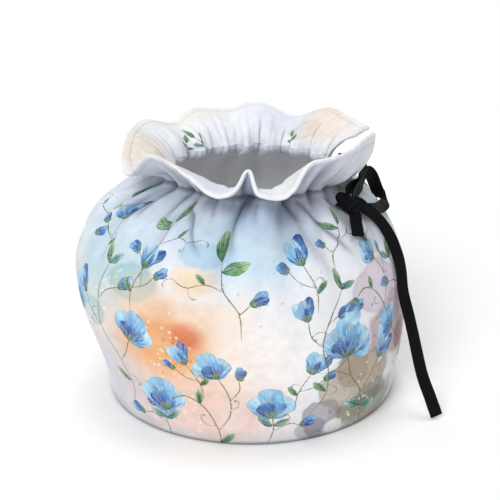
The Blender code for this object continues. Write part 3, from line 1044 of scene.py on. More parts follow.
@dataclass
class PrintPainter:
    """Paints the sprays of a print on the points of one piece of cloth.

    Each point keeps the colour of the motif that covers it or is nearest, the mm to that motif's
    edge (under 0 inside), the way of the paint's streaks, and its place beside the nearest line.
    """

    design: FlowerPrint
    across: np.ndarray  # the points' places across the cloth, in mm
    up: np.ndarray  # their places up the cloth, in mm
    bare: str = "#7FA8D8"  # the motifs' colour where none is near
    colour_middle: float = 0.45  # share of a petal's length at which it has its middle colour
    outline_wide: float = 0.75
    outline_dark: float = 0.10
    uneven_wide: float = 4.5
    uneven_tint: float = 0.9
    bend: float = 0.06
    streaks: float = 7.0
    leaf_wide: float = 0.40  # share of a leaf's length
    vein_wide: float = 0.45  # mm
    side_vein_wide: float = 0.3
    tendril_wide: float = 0.5
    line_least: float = 0.4  # what is left of a line's width at its ends
    far_off: float = 9.0  # mm; the distance kept where no line is near

    def __post_init__(self) -> None:
        """Starts with bare cloth."""
        count = self.across.size
        self.motif = np.tile(linear(self.bare), (count, 1))
        self.edge = np.full(count, self.design.reach)
        self.streak = np.zeros((count, 3))
        self.line = np.tile([self.far_off, self.far_off, 0.0], (count, 1))
        self.seed = 0

    def near(self, across: float, up: float, reach: float) -> tuple[np.ndarray, ...]:
        """The points within reach of a place, with their offsets from it."""
        x = wrapped(self.across, across, self.design.repeat)
        y = self.up - up
        index = np.nonzero((abs(x) < reach) & (abs(y) < reach))[0]
        return index, x[index], y[index]

    def shape(
        self,
        foot: tuple[float, float],
        angle: float,
        length: float,
        width: float,
        colours: tuple[str, str, str],
        brush: Brush,
    ) -> None:
        """Paints one petal or leaf.

        Args:
            foot: where it is attached, in mm.
            angle: the way that it points, in radians.
            length: how long it is, in mm.
            width: how wide it is, in mm.
            colours: at the foot, in the middle and at the tip.
            brush: how it is painted.
        """
        self.seed += 1
        index, x, y = self.near(*foot, length * 1.2 + self.design.reach)
        if not index.size:
            return
        u = x * math.cos(angle) + y * math.sin(angle)
        v = -x * math.sin(angle) + y * math.cos(angle)
        t = np.clip(u / length, 1e-3, 1 - 1e-3)
        rise, fall, ruffle, fan = brush
        peak = (rise / (rise + fall)) ** rise * (fall / (rise + fall)) ** fall
        half = width / 2 * t**rise * (1 - t) ** fall / peak
        half = half * (1 + ruffle * np.sin(9 * t + 1.7 * self.seed + np.sign(v)))
        bend = self.bend * width * np.sin(3 * t + self.seed)
        far = np.maximum(np.maximum(abs(v - bend) - half, -u), u - length)
        inside = far < 0
        beyond = ~inside & (self.edge[index] > 0) & (far < self.edge[index])
        foot_colour, middle_colour, tip_colour = (linear(c) for c in colours)
        toward, turning = t[:, None], self.colour_middle
        colour = np.where(
            toward < turning,
            foot_colour + (middle_colour - foot_colour) * toward / turning,
            middle_colour + (tip_colour - middle_colour) * (toward - turning) / (1 - turning),
        )
        uneven = blots(x / self.uneven_wide + self.seed, y / self.uneven_wide, self.seed, 3)
        outline = bell(far / self.outline_wide)[:, None]
        tint = 1 + self.uneven_tint * (uneven[:, None] - 0.5)
        colour = np.clip(colour * tint * (1 - self.outline_dark * outline), 0, 1)
        put = inside | beyond
        chosen = index[put]
        self.motif[chosen] = colour[put]
        spread = np.arctan2(v, u + 0.1 * length) * fan + v / width * (1 - fan)
        which = np.full(put.sum(), 0.37 * self.seed)
        self.streak[chosen] = np.stack([spread[put] * self.streaks, t[put], which], axis=-1)
        self.edge[index] = np.minimum(self.edge[index], np.maximum(far, -self.design.reach))

    def bloom(self, bloom: Bloom) -> None:
        """Paints one blossom of soft blue petals over a green calyx."""
        foot, size = (bloom.across, bloom.up), bloom.size
        up = math.radians(90 + bloom.angle)
        brush = PETAL_BRUSHES[bloom.kind]
        for petal in PETALS[bloom.kind]:
            angle = up + petal.aside
            self.shape(foot, angle, size * petal.length, size * petal.width, petal.colours, brush)
        for aside, reach in SEPALS:
            length = size * reach + SEPAL_LEAST
            self.shape(foot, up + aside, length, SEPAL_WIDE, SEPAL_COLOURS, SEPAL_BRUSH)

    def leaf(self, leaf: Leaf) -> None:
        """Paints one pointed leaf with its midrib and side veins."""
        tones = COOL_LEAF if leaf.tone > 0.5 else FRESH_LEAF
        angle, length = math.radians(leaf.angle), leaf.length
        wide = length * self.leaf_wide
        self.shape((leaf.across, leaf.up), angle, length, wide, tones, LEAF_BRUSH)
        foot = np.array([leaf.across, leaf.up])
        ahead = np.array([math.cos(angle), math.sin(angle)])
        aside = np.array([-ahead[1], ahead[0]])
        midrib = [foot, foot + ahead * length * 0.55, foot + ahead * length * 0.92]
        self.draw(np.array(midrib), self.vein_wide, VEIN)
        for start in (0.25, 0.45):
            for side in (-1, 1):
                root = foot + ahead * length * start
                tip = root + ahead * length * 0.22 + aside * side * length * 0.13
                self.draw(np.array([root, tip]), self.side_vein_wide, VEIN)

    def draw(self, points: np.ndarray, width: float, tone: float) -> None:
        """Draws a thin line along straight runs between points.

        Args:
            points: the line's points, in mm.
            width: how wide it is, in mm.
            tone: its place in the range of line colours.
        """
        middle = (points.min(axis=0) + points.max(axis=0)) / 2
        reach = float(np.abs(points - middle).max()) + self.design.reach
        index, x, y = self.near(middle[0], middle[1], reach)
        if not index.size:
            return
        place = np.stack([x, y], axis=-1)[:, None]
        start, end = points[:-1] - middle, points[1:] - middle
        run = end - start
        share = ((place - start) * run).sum(-1) / np.maximum((run * run).sum(-1), 1e-9)
        share = np.clip(share, 0, 1)
        gap = place - (start + run * share[..., None])
        far = np.linalg.norm(gap, axis=-1)
        best = far.argmin(axis=1)
        pick = np.arange(index.size)
        far = far[pick, best]
        along = (best + share[pick, best]) / len(start)
        full = step_up(along, 0.0, 0.3) * step_up(along, 1.12, 0.8)
        drawn = width * (self.line_least + (1 - self.line_least) * full)
        side = np.sign(run[best, 0] * gap[pick, best, 1] - run[best, 1] * gap[pick, best, 0])
        closer = far < self.line[index, 1]
        beside = (side * far / (drawn / 2))[closer]
        tones = np.full(closer.sum(), tone)
        self.line[index[closer]] = np.stack([beside, far[closer], tones], axis=-1)

    def curl(self, curl: Curl, hand: int) -> None:
        """Draws a tendril that runs out and winds up."""
        steps = np.linspace(0, 1, 34)
        wind = np.sign(curl.turns) * hand
        winding = 0.5 * np.sin(5 * steps) + abs(curl.turns) * TURN * steps**2.4
        heading = math.radians(curl.angle) + wind * winding
        pace = curl.size / 12 * (1.15 - steps)
        ways = np.stack([np.cos(heading), np.sin(heading)], axis=-1)
        path = np.array([curl.across, curl.up]) + np.cumsum(ways * pace[:, None], axis=0)
        self.draw(path, self.tendril_wide, BARK)

    def spray(self, placing: Placing) -> None:
        """Paints a spray where a placing puts it."""
        drawn = SPRAYS[placing.spray]
        lean = math.radians(placing.lean)
        turned = np.array([[math.cos(lean), -math.sin(lean)], [math.sin(lean), math.cos(lean)]])
        turned = turned @ np.diag([placing.flip, 1]) * placing.size
        foot = np.array([placing.across, placing.up])

        def put(across: float, up: float) -> tuple[float, float]:
            """A place of the spray on the cloth."""
            return tuple(foot + turned @ np.array([across, up]))

        def way(angle: float) -> float:
            """An angle of the spray, from the upright, on the cloth."""
            return placing.lean + placing.flip * angle

        for stem in drawn.stems:
            points = np.array([put(*point) for point in stem.points], float)
            self.draw(curve_through(points, 8), stem.width, stem.tone)
        for curl in drawn.curls:
            angle = way(curl.angle - 90) + 90
            size = curl.size * placing.size
            self.curl(Curl(*put(curl.across, curl.up), angle, size, curl.turns), placing.flip)
        for leaf in drawn.leaves:
            angle = way(leaf.angle - 90) + 90
            size = leaf.length * placing.size
            self.leaf(Leaf(*put(leaf.across, leaf.up), size, angle, leaf.tone))
        for bloom in drawn.blooms:
            size = bloom.size * placing.size
            self.bloom(Bloom(*put(bloom.across, bloom.up), size, way(bloom.angle), bloom.kind))

    def paint(self) -> None:
        """Paints every spray of the print."""
        for placing in self.design.placings:
            self.spray(placing)


# ---- materials


class Step(NamedTuple):
    """A node of a material: its name, kind, what it takes, its settings and the output it gives.

    It takes numbers, colours, and earlier steps by their names.
    """

    name: str
    kind: str
    takes: dict | tuple
    settings: dict | None = None
    gives: int | str = 0


SMOOTHLY = {"interpolation_type": "SMOOTHSTEP"}
TIMES = {"operation": "MULTIPLY"}
LESS = {"operation": "SUBTRACT"}
OVER = {"data_type": "RGBA"}
DEEPER = {"data_type": "RGBA", "blend_type": "MULTIPLY"}
SCALED = {"operation": "SCALE"}


def add_node(tree: bpy.types.NodeTree, kind: str, links: dict, **settings: str) -> bpy.types.Node:
    """Adds a shader node.

    Args:
        tree: the material's node tree.
        kind: the node's type, without the word ShaderNode.
        links: for each input, by name or number, the socket or value that it takes.
        settings: the node's own settings.

    Returns:
        The node.
    """
    node = tree.nodes.new("ShaderNode" + kind)
    for name, value in settings.items():
        setattr(node, name, value)
    for name, value in links.items():
        if isinstance(value, bpy.types.NodeSocket):
            tree.links.new(value, node.inputs[name])
        else:
            node.inputs[name].default_value = value
    return node


def new_material(
    name: str, steps: Sequence[Step], surface: dict[str, float]
) -> tuple[bpy.types.Material, dict[str, bpy.types.NodeSocket]]:
    """A material whose steps named colour and normal go to its shader.

    Args:
        name: what it is.
        steps: its nodes, in order.
        surface: the values of the shader's own sockets, by their names.

    Returns:
        The material, and each step's output by the step's name.
    """
    material = bpy.data.materials.new(name)
    material.use_nodes = True
    tree = material.node_tree
    made = {}
    for step in steps:
        takes = step.takes if isinstance(step.takes, dict) else dict(enumerate(step.takes))
        links = {to: made[item] if isinstance(item, str) else item for to, item in takes.items()}
        node = add_node(tree, step.kind, links, **(step.settings or {}))
        made[step.name] = node.outputs[step.gives]
    shader = tree.nodes["Principled BSDF"]
    for socket, name in (("Base Color", "colour"), ("Normal", "normal")):
        if name in made:
            tree.links.new(made[name], shader.inputs[socket])
    for socket, value in surface.items():
        shader.inputs[socket].default_value = value
    return material, made


@dataclass(frozen=True)
class PrintedCloth:
    """Plain-woven polyester cotton with a watercolour print, heat pressed on: matt, with soft
    colour that runs into the threads, and fine white topstitching along the hems."""

    name: str = "printed plain-woven cotton"
    roughness: float = 0.86
    sheen: float = 0.18
    sheen_roughness: float = 0.5
    shine: float = 0.25
    weave_pitch: float = 0.9  # mm; the real threads are 0.4 mm apart, too fine to show
    weave_height: float = 0.05
    stitch_pitch: float = 3.0  # mm from one stitch to the next
    stitch_wide: float = 0.4
    stitch_height: float = 0.3
    thread: str = "#F4F4F6"
    # painted shade: the grey that the fold attribute darkens the print toward in folds, at the neck
    # and at the bottom edge
    fold_shade_colour: str = "#8F9099"
    dark_stroke: str = "#5D9EDA"
    light_stroke: str = "#DFEDF7"
    ink: tuple[str, ...] = ("#646F3A", "#6A6250", "#2F5B3A")
    edge_wobble: float = 0.5  # mm that the print's edges wander
    wobble_scale: float = 62.0  # bends of 1.6 mm
    pool_scale: float = 16.0  # pools of 6 mm where the paint dried
    nap_scale: float = 85.0  # tufts of 1.2 mm
    attributes: tuple[tuple[str, str], ...] = (
        ("wash", "Color"),
        ("motif", "Color"),
        ("motif_edge", "Fac"),
        ("streak", "Vector"),
        ("line", "Vector"),
        ("fold", "Fac"),
        ("seam", "Vector"),
    )

    def print_steps(self) -> list[Step]:
        """The nodes of the print: its motifs over its washes, and its lines on top."""
        flat, wobble = {"Vector": "flat"}, {"operation": "MULTIPLY_ADD"}
        pools = flat | {"Scale": self.pool_scale, "Detail": 7.0, "Roughness": 0.62}
        strokes = {"Vector": "streak", "Scale": 1.7, "Detail": 2.5}
        dark, light = opaque(self.dark_stroke), opaque(self.light_stroke)
        return [
            Step("flat", "UVMap", (), {"uv_map": "cloth_flat"}),
            Step("wander", "TexNoise", flat | {"Scale": self.wobble_scale, "Detail": 2.0}),
            Step("off", "Math", ("wander", 0.5), LESS),
            Step("edge", "Math", ("off", 2 * self.edge_wobble, "motif_edge"), wobble),
            Step("pool", "TexNoise", pools),
            # the brush's dark strokes fade from a petal's foot to its tip
            Step("brush", "TexNoise", strokes),
            Step("along", "SeparateXYZ", ("streak",), gives=1),
            Step("dark strokes", "MapRange", ("brush", 0.535, 0.585), SMOOTHLY),
            Step("near foot", "MapRange", ("along", 0.95, 0.35), SMOOTHLY),
            Step("dark", "Math", ("dark strokes", "near foot"), TIMES),
            Step("dark share", "Math", ("dark", 0.85), TIMES),
            Step("deep", "Mix", {0: "dark share", 6: "motif", 7: dark}, DEEPER, 2),
            Step("light strokes", "MapRange", ("brush", 0.47, 0.38), SMOOTHLY),
            Step("light share", "Math", ("light strokes", 0.36), TIMES),
            Step("light", "Mix", {0: "light share", 6: "deep", 7: light}, OVER, 2),
            # paint gathers in a thin rim where it dried, and lies thinner in pools
            Step("rim", "MapRange", ("edge", -0.9, -0.1), SMOOTHLY),
            Step("rim share", "Math", ("rim", 0.10), TIMES),
            Step("rim left", "Math", (1.0, "rim share"), LESS),
            Step("motifs", "VectorMath", {0: "light", 3: "rim left"}, SCALED),
            Step("pooled", "MapRange", ("pool", 0.32, 0.68, 0.965, 1.02), SMOOTHLY),
            Step("ground", "VectorMath", {0: "wash", 3: "pooled"}, SCALED),
            Step("inside", "MapRange", ("edge", 0.2, -0.2), SMOOTHLY),
            Step("watery", "MapRange", ("pool", 0.36, 0.60, 0.88, 0.98), SMOOTHLY),
            Step("cover", "Math", ("inside", "watery"), TIMES),
            Step("covered", "Mix", {0: "cover", 6: "ground", 7: "motifs"}, OVER, 2),
            # stems, tendrils and veins swell and thin out along their way
            Step("off line", "SeparateXYZ", ("line",)),
            Step("to line", "SeparateXYZ", ("line",), gives=1),
            Step("tone", "SeparateXYZ", ("line",), gives=2),
            Step("beside", "Math", ("off line",), {"operation": "ABSOLUTE"}),
            Step("swelling", "MapRange", ("wander", 0.35, 0.65, 0.85, 1.25), SMOOTHLY),
            Step("aside", "Math", ("beside", "swelling"), TIMES),
            Step("on line", "MapRange", ("aside", 1.10, 0.50), SMOOTHLY),
            Step("dried", "MapRange", ("pool", 0.34, 0.52, 0.55, 0.92), SMOOTHLY),
            Step("thin", "Math", ("on line", "dried"), TIMES),
            Step("close", "MapRange", ("to line", 1.0, 0.7), SMOOTHLY),
            Step("line share", "Math", ("thin", "close"), TIMES),
            Step("ink", "ValToRGB", ("tone",)),
            Step("printed", "Mix", {0: "line share", 6: "covered", 7: "ink"}, OVER, 2),
        ]

    def sewn_steps(self) -> list[Step]:
        """The nodes of the folds' shade, the stitches and the cloth's relief."""
        flat, tint, thread = {"Vector": "flat"}, opaque(self.fold_shade_colour), opaque(self.thread)
        scale = WAVE_SCALE * FLAT_UNIT / self.weave_pitch
        wave, wide = flat | {"Scale": scale, "Distortion": 0.4}, self.stitch_wide
        cloth = {"Height": "height", "Strength": 0.45, "Distance": self.weave_height * MM}
        raised = {"Height": "stitch", "Strength": 0.8, "Distance": self.stitch_height * MM}
        return [
            # painted shade: the fold attribute darkens the print toward the fold shade colour
            Step("fold_shaded", "Mix", {0: "fold", 6: "printed", 7: tint}, DEEPER, 2),
            Step("off seam", "SeparateXYZ", ("seam",)),
            Step("along seam", "SeparateXYZ", ("seam",), gives=1),
            Step("across", "Math", ("off seam",), {"operation": "ABSOLUTE"}),
            Step("stitches", "Math", ("along seam", self.stitch_pitch), {"operation": "DIVIDE"}),
            Step("turn", "Math", ("stitches",), {"operation": "FRACT"}),
            Step("begun", "MapRange", ("turn", 0.0, 0.1), SMOOTHLY),
            Step("ended", "MapRange", ("turn", 0.82, 0.70), SMOOTHLY),
            Step("there", "Math", ("begun", "ended"), TIMES),
            Step("wide", "MapRange", ("across", wide, wide * 0.4), SMOOTHLY),
            Step("stitch", "Math", ("wide", "there"), TIMES),
            # the thread draws the cloth in beside it, and painted shade darkens the print a little
            # there
            Step("sunk", "MapRange", ("across", 1.1, 0.1), SMOOTHLY),
            Step("sunk share", "Math", ("sunk", 0.07), TIMES),
            Step("sunk left", "Math", (1.0, "sunk share"), LESS),
            Step("shaded", "VectorMath", {0: "fold_shaded", 3: "sunk left"}, SCALED),
            Step("stitch share", "Math", ("stitch", 0.35), TIMES),
            Step("colour", "Mix", {0: "stitch share", 6: "shaded", 7: thread}, OVER, 2),
            # threads both ways with a soft nap, and the stitches raised on them
            Step("warp", "TexWave", wave, {"bands_direction": "X"}, "Fac"),
            Step("weft", "TexWave", wave, {"bands_direction": "Y"}, "Fac"),
            Step("weave", "Math", ("warp", "weft"), TIMES),
            Step("tufts", "TexNoise", flat | {"Scale": self.nap_scale, "Detail": 3.0}),
            Step("nap", "Math", ("tufts", 1.2), TIMES),
            Step("height", "Math", ("weave", "nap"), {"operation": "ADD"}),
            Step("threads", "Bump", cloth),
            Step("normal", "Bump", raised | {"Normal": "threads"}),
        ]

    def build(self) -> bpy.types.Material:
        """Builds the cloth's material from the attributes that the print is painted in."""
        read = [
            Step(name, "Attribute", (), {"attribute_name": name}, gives)
            for name, gives in self.attributes
        ]
        surface = {
            "Roughness": self.roughness,
            "Sheen Weight": self.sheen,
            "Sheen Roughness": self.sheen_roughness,
            "Specular IOR Level": self.shine,
        }
        steps = read + self.print_steps() + self.sewn_steps()
        material, made = new_material(self.name, steps, surface)
        stops = made["ink"].node.color_ramp.elements
        stops.new(0.5)
        for stop, colour in zip(stops, self.ink):
            stop.color = opaque(colour)
        return material


@dataclass(frozen=True)
class BlackRibbon:
    """Woven black polyester ribbon: deep black with fine cross ribs that catch a low soft shine."""

    name: str = "black ribbed polyester ribbon"
    colour: str = "#08080A"
    worn: str = "#0D0D10"
    roughness: float = 0.62
    sheen: float = 0.015
    sheen_roughness: float = 0.4
    shine: float = 0.09
    rib_pitch: float = 0.8  # mm; the real ribs are 0.5 mm apart, too fine to show
    rib_height: float = 0.10
    dust_scale: float = 30.0  # specks of 3 mm

    def build(self) -> bpy.types.Material:
        """Builds the ribbon's material; its ribs run across the strip's own length."""
        flat = {"Vector": "flat"}
        wave = flat | {"Scale": WAVE_SCALE * FLAT_UNIT / self.rib_pitch, "Distortion": 0.3}
        tones = {0: "dust", 6: opaque(self.colour), 7: opaque(self.worn)}
        relief = {"Height": "ribs", "Strength": 0.6, "Distance": self.rib_height * MM}
        steps = [
            Step("flat", "UVMap", (), {"uv_map": "ribbon_flat"}),
            Step("ribs", "TexWave", wave, {"bands_direction": "Y"}, "Fac"),
            Step("dust", "TexNoise", flat | {"Scale": self.dust_scale, "Detail": 3.0}),
            Step("colour", "Mix", tones, OVER, 2),
            Step("normal", "Bump", relief),
        ]
        surface = {
            "Roughness": self.roughness,
            "Sheen Weight": self.sheen,
            "Sheen Roughness": self.sheen_roughness,
            "Specular IOR Level": self.shine,
        }
        return new_material(self.name, steps, surface)[0]


@dataclass(frozen=True)
class StudioFloor:
    """Matt white paper sweep, which gives a plain bright ground."""

    name: str = "matt white paper"
    colour: str = "#FDFDFD"
    grain: str = "#FBFBFB"
    grain_scale: float = 900.0  # a soft unevenness of 16 mm, as one unit is the floor's 14 m
    roughness: float = 0.9

    def build(self) -> bpy.types.Material:
        """Builds the floor's material."""
        tones = {0: "fibres", 6: opaque(self.colour), 7: opaque(self.grain)}
        steps = [
            Step("fibres", "TexNoise", {"Scale": self.grain_scale, "Detail": 2.0}),
            Step("colour", "Mix", tones, OVER, 2),
        ]
        return new_material(self.name, steps, {"Roughness": self.roughness})[0]


# ---- meshes

def mesh_object(name: str, points: np.ndarray, faces: list[tuple]) -> bpy.types.Object:
    """A mesh object at the origin.

    Args:
        name: the piece's name.
        points: its points, in metres.
        faces: its faces, as lists of point numbers.

    Returns:
        The object, linked to the scene.
    """
    mesh = bpy.data.meshes.new(name)
    mesh.from_pydata(points.tolist(), [], faces)
    mesh.validate()
    mesh.shade_smooth()
    made = bpy.data.objects.new(name, mesh)
    bpy.context.scene.collection.objects.link(made)
    return made


def put_attribute(piece: bpy.types.Object, name: str, kind: str, values: np.ndarray) -> None:
    """Stores values on a piece's points."""
    made = piece.data.attributes.new(name, kind, "POINT")
    slot = {"FLOAT": "value", "FLOAT_VECTOR": "vector", "FLOAT_COLOR": "color"}[kind]
    made.data.foreach_set(slot, np.ascontiguousarray(values, np.float32).ravel())


def put_flat_map(piece: bpy.types.Object, name: str, values: np.ndarray) -> None:
    """Stores the points' flat places, in mm, as a UV map."""
    layer = piece.data.uv_layers.new(name=name)
    corners = np.empty(len(piece.data.loops), np.int32)
    piece.data.loops.foreach_get("vertex_index", corners)
    places = values[corners] / FLAT_UNIT
    layer.data.foreach_set("uv", np.ascontiguousarray(places, np.float32).ravel())


def select_only(piece: bpy.types.Object) -> None:
    """Selects one piece and makes it active."""
    bpy.ops.object.select_all(action="DESELECT")
    piece.select_set(True)
    bpy.context.view_layer.objects.active = piece


def dress(piece: bpy.types.Object, material: bpy.types.Material) -> None:
    """Gives a piece its one material."""
    piece.data.materials.clear()
    piece.data.materials.append(material)


def grid_faces(first: int, rows: int, columns: int, turned: bool) -> list[tuple[int, ...]]:
    """The faces of a grid of points.

    Args:
        first: the number of its first point.
        rows: how many rows.
        columns: how many columns.
        turned: whether the faces look the other way.

    Returns:
        The faces.
    """
    i, j = np.meshgrid(np.arange(rows - 1), np.arange(columns - 1), indexing="ij")
    a = first + i * columns + j
    quads = np.stack([a, a + 1, a + columns + 1, a + columns], axis=-1).reshape(-1, 4)
    return (quads[:, ::-1] if turned else quads).tolist()


def zip_faces(
    left: list[int],
    right: list[int],
    where_left: np.ndarray,
    where_right: np.ndarray,
    turned: bool,
) -> list[tuple[int, ...]]:
    """Joins two rows of points that have different spacing.

    Args:
        left: point numbers of one row.
        right: point numbers of the other.
        where_left: how far along each point of the one lies.
        where_right: how far along each point of the other lies.
        turned: whether the faces look the other way.

    Returns:
        The faces.
    """
    faces, i, j = [], 0, 0
    while i < len(left) - 1 or j < len(right) - 1:
        ahead_left = where_left[i + 1] if i < len(left) - 1 else math.inf
        ahead_right = where_right[j + 1] if j < len(right) - 1 else math.inf
        if ahead_left <= ahead_right:
            face = (left[i], left[i + 1], right[j])
            i += 1
        else:
            face = (left[i], right[j + 1], right[j])
            j += 1
        faces.append(face[::-1] if turned else face)
    return faces


# ---- the cloth's pieces


class Cut(NamedTuple):
    """A piece of the cloth: its place, its grid's steps in mm and its flat size in metres."""

    name: str
    low: float  # mm up from the hem
    high: float
    start: float | None  # turn in degrees, None at the slit's back edge
    end: float | None  # turn in degrees, None at the slit's front edge
    row_step: float
    column_step: float
    inner_row_step: float
    printed_inside: bool
    flat: tuple[float, float]


class Side(NamedTuple):
    """One side of a piece, as a grid of points.

    It holds the rows' places up the cloth in mm, the points' turns and stations, the points in
    metres, and how far across and along the nearest line of stitches each one lies, in mm.
    """

    rows: np.ndarray
    turn: np.ndarray
    station: np.ndarray
    points: np.ndarray
    seam_across: np.ndarray
    seam_along: np.ndarray


@dataclass
class ClothPiece:
    """One piece of the sheet between two stations and two turns, closed all round."""

    cut: Cut
    form: ClothForm
    design: FlowerPrint
    grid_radius: float = 95.0  # mm from the axis, where the columns have their step
    print_radius: float = 94.0  # mm from the axis, where the print has its size
    print_middle: float = 270.0  # the turn at which the print's middle lies
    coarse: float = 2.0  # rows further apart than this get closer under the channel
    close_rows: float = 14.0  # mm below the channel over which they do
    foot_level: tuple[float, float] = (6.0, 0.0)  # mm up, where the bottom edge turns level
    slit_least: float = 0.5  # mm; the slit is shut where it is narrower
    far_off: float = 1e3  # mm; the distance to an edge that isn't there
    no_seam: float = 9.0  # mm; the distance kept where no stitches are near
    shift_inside: float = 60.0  # mm across by which the inner side's print is moved
    lift_inside: float = 45.0  # mm up by which it is moved
    plain: str = "#ECEDF0"
    plain_below: float = 8.0  # mm below the channel, where the plain inner side ends

    def rows(self, step: float) -> np.ndarray:
        """Places up the cloth of the grid's rows, closer together at the hem and the rim."""
        low, high = self.cut.low, self.cut.high
        up = np.linspace(low, high, max(int((high - low) / step), 2) + 1)
        if low <= 0:
            up = np.concatenate([ROUNDING, up[up > ROUNDING_END]])
        if step > self.coarse:
            up = np.union1d(up, high - np.arange(0, self.close_rows, 1.0))
        if high >= self.form.whole_length:
            up = np.concatenate([up[up < high - ROUNDING_END], high - ROUNDING[::-1]])
        return up

    def turns(self, station: np.ndarray) -> np.ndarray:
        """The turns of the grid's columns at each station."""
        start, end = self.form.edges(station)
        if self.cut.start is not None:
            start = np.full_like(start, math.radians(self.cut.start))
        if self.cut.end is not None:
            end = np.full_like(end, math.radians(self.cut.end))
        size = (end - start).max() * self.grid_radius
        share = np.linspace(0, 1, int(size / self.cut.column_step) + 1)
        near, last = ROUNDING / size, ROUNDING_END / size
        if self.cut.start is None:
            share = np.concatenate([near, share[share > last]])
        if self.cut.end is None:
            share = np.concatenate([share[share < 1 - last], 1 - near[::-1]])
        return start[:, None] + (end - start)[:, None] * share[None, :]

    def half_thick(self, turn: np.ndarray, station: np.ndarray) -> tuple[np.ndarray, ...]:
        """Half the cloth's thickness, and its seams' places.

        Args:
            turn: the points' turns.
            station: the points' stations.

        Returns:
            Half the thickness in mm, and for each point how far it lies across and along the
            nearest line of stitches, in mm.
        """
        form = self.form
        up = form.up_at(station)
        back, front = form.edges(station)
        radius = smooth(station, form.stations, form.radii) / MM
        shut = np.where(form.slit_open(station) > self.slit_least, 0, self.far_off)
        to_back = (turn - back) * radius + shut
        to_front = (front - turn) * radius + shut
        to_rim = form.whole_length - up
        across = np.full(turn.shape, self.no_seam)
        along = np.zeros(turn.shape)
        for far, seam, run in (
            (to_rim, form.rim_seam, turn * radius),
            (to_back, form.slit_seam, up),
            (to_front, form.slit_seam, up),
        ):
            nearer = abs(far - seam) < abs(across)
            across = np.where(nearer, far - seam, across)
            along = np.where(nearer, run, along)
        near = np.minimum(np.minimum(to_rim, up), np.minimum(to_back, to_front))
        hem = step_up(near, *form.hem_fade)
        half = form.half_thick + (form.hem_half_thick - form.half_thick) * hem
        half = half - form.stitch_dent * bell(across / form.stitch_dent_wide)
        inside = np.minimum(np.clip(near / half, 0, 1), np.clip(up / form.foot_round, 0, 1))
        rounded = np.sqrt(np.maximum(1 - (1 - inside) ** 2, form.edge_least))
        return half * rounded, across, along

    def side(self, step: float, outward: int) -> Side:
        """One side of the sheet.

        Args:
            step: how far apart its rows are, in mm.
            outward: 1 for the outer side and -1 for the inner.

        Returns:
            The side.
        """
        rows = self.rows(step)
        station = self.form.station_at(rows)
        turn = self.turns(station)
        station = np.repeat(station[:, None], turn.shape[1], axis=1)
        normal = self.form.normal(turn, station)
        flat = step_up(self.form.up_at(station), *self.foot_level)[..., None]
        normal = unit(normal * (1 - flat) + normal * (1, 1, 0) * flat)
        half, across, along = self.half_thick(turn, station)
        points = self.form.place(turn, station) + normal * (outward * half * MM)[..., None]
        return Side(rows, turn, station, points, across, along)

    def faces(self, outer: Side, inner: Side) -> list[tuple[int, ...]]:
        """The faces of both sides and of the four edges that join them."""
        rows, columns = outer.turn.shape
        inner_rows = inner.turn.shape[0]
        split = rows * columns
        faces = grid_faces(0, rows, columns, False) + grid_faces(split, inner_rows, columns, True)
        for j in range(columns - 1):
            faces.append((j, split + j, split + j + 1, j + 1))
            a, b = (rows - 1) * columns + j, split + (inner_rows - 1) * columns + j
            faces.append((a, a + 1, b + 1, b))
        for j, turned in ((0, False), (columns - 1, True)):
            left = [i * columns + j for i in range(rows)]
            right = [split + i * columns + j for i in range(inner_rows)]
            faces += zip_faces(left, right, outer.rows, inner.rows, turned)
        return faces

    def paint(self, piece: bpy.types.Object, outer: Side, inner: Side) -> None:
        """Stores what the cloth's material reads on the points.

        Args:
            piece: the piece.
            outer: its outer side, whose points come first.
            inner: its inner side.
        """
        form, design = self.form, self.design

        def joined(name: str) -> np.ndarray:
            """One value of every point."""
            return np.concatenate([getattr(side, name).ravel() for side in (outer, inner)])

        across = (joined("turn") - math.radians(self.print_middle)) * self.print_radius
        up = form.up_at(joined("station"))
        within = np.arange(across.size) >= outer.turn.size
        print_across = np.where(within, self.shift_inside - across, across)
        print_up = np.where(within, up + self.lift_inside, up)
        painter = PrintPainter(design, print_across, print_up)
        painter.paint()
        wash = design.ground(print_across, print_up)
        if not self.cut.printed_inside:
            plain = within & (up < form.body_length - self.plain_below)
            wash[plain] = linear(self.plain)
            painter.edge[plain] = design.reach
            painter.line[plain, 1] = painter.far_off
        # painted shade of the folds, the neck and the bottom edge, stored as the fold attribute
        shade = form.shade(outer.turn, outer.station)
        shade_inside = form.shade_inside(inner.turn, inner.station)
        seam = [joined("seam_across"), joined("seam_along"), np.zeros(across.size)]
        ones = np.ones((across.size, 1))
        for name, kind, values in (
            ("wash", "FLOAT_COLOR", np.hstack([wash, ones])),
            ("motif", "FLOAT_COLOR", np.hstack([painter.motif, ones])),
            ("motif_edge", "FLOAT", painter.edge),
            ("streak", "FLOAT_VECTOR", painter.streak),
            ("line", "FLOAT_VECTOR", painter.line),
            ("fold", "FLOAT", np.concatenate([shade.ravel(), shade_inside.ravel()])),
            ("seam", "FLOAT_VECTOR", np.stack(seam, axis=-1)),
        ):
            put_attribute(piece, name, kind, values)
        put_flat_map(piece, "cloth_flat", np.stack([across, up], axis=-1))

    def build(self) -> bpy.types.Object:
        """Builds the piece and paints it.

        Returns:
            The finished object.
        """
        outer = self.side(self.cut.row_step, 1)
        inner = self.side(self.cut.inner_row_step, -1)
        points = np.concatenate([side.points.reshape(-1, 3) for side in (outer, inner)])
        piece = mesh_object(self.cut.name, points, self.faces(outer, inner))
        self.paint(piece, outer, inner)
        LOG.info("%s: %d points", self.cut.name, len(points))
        return piece


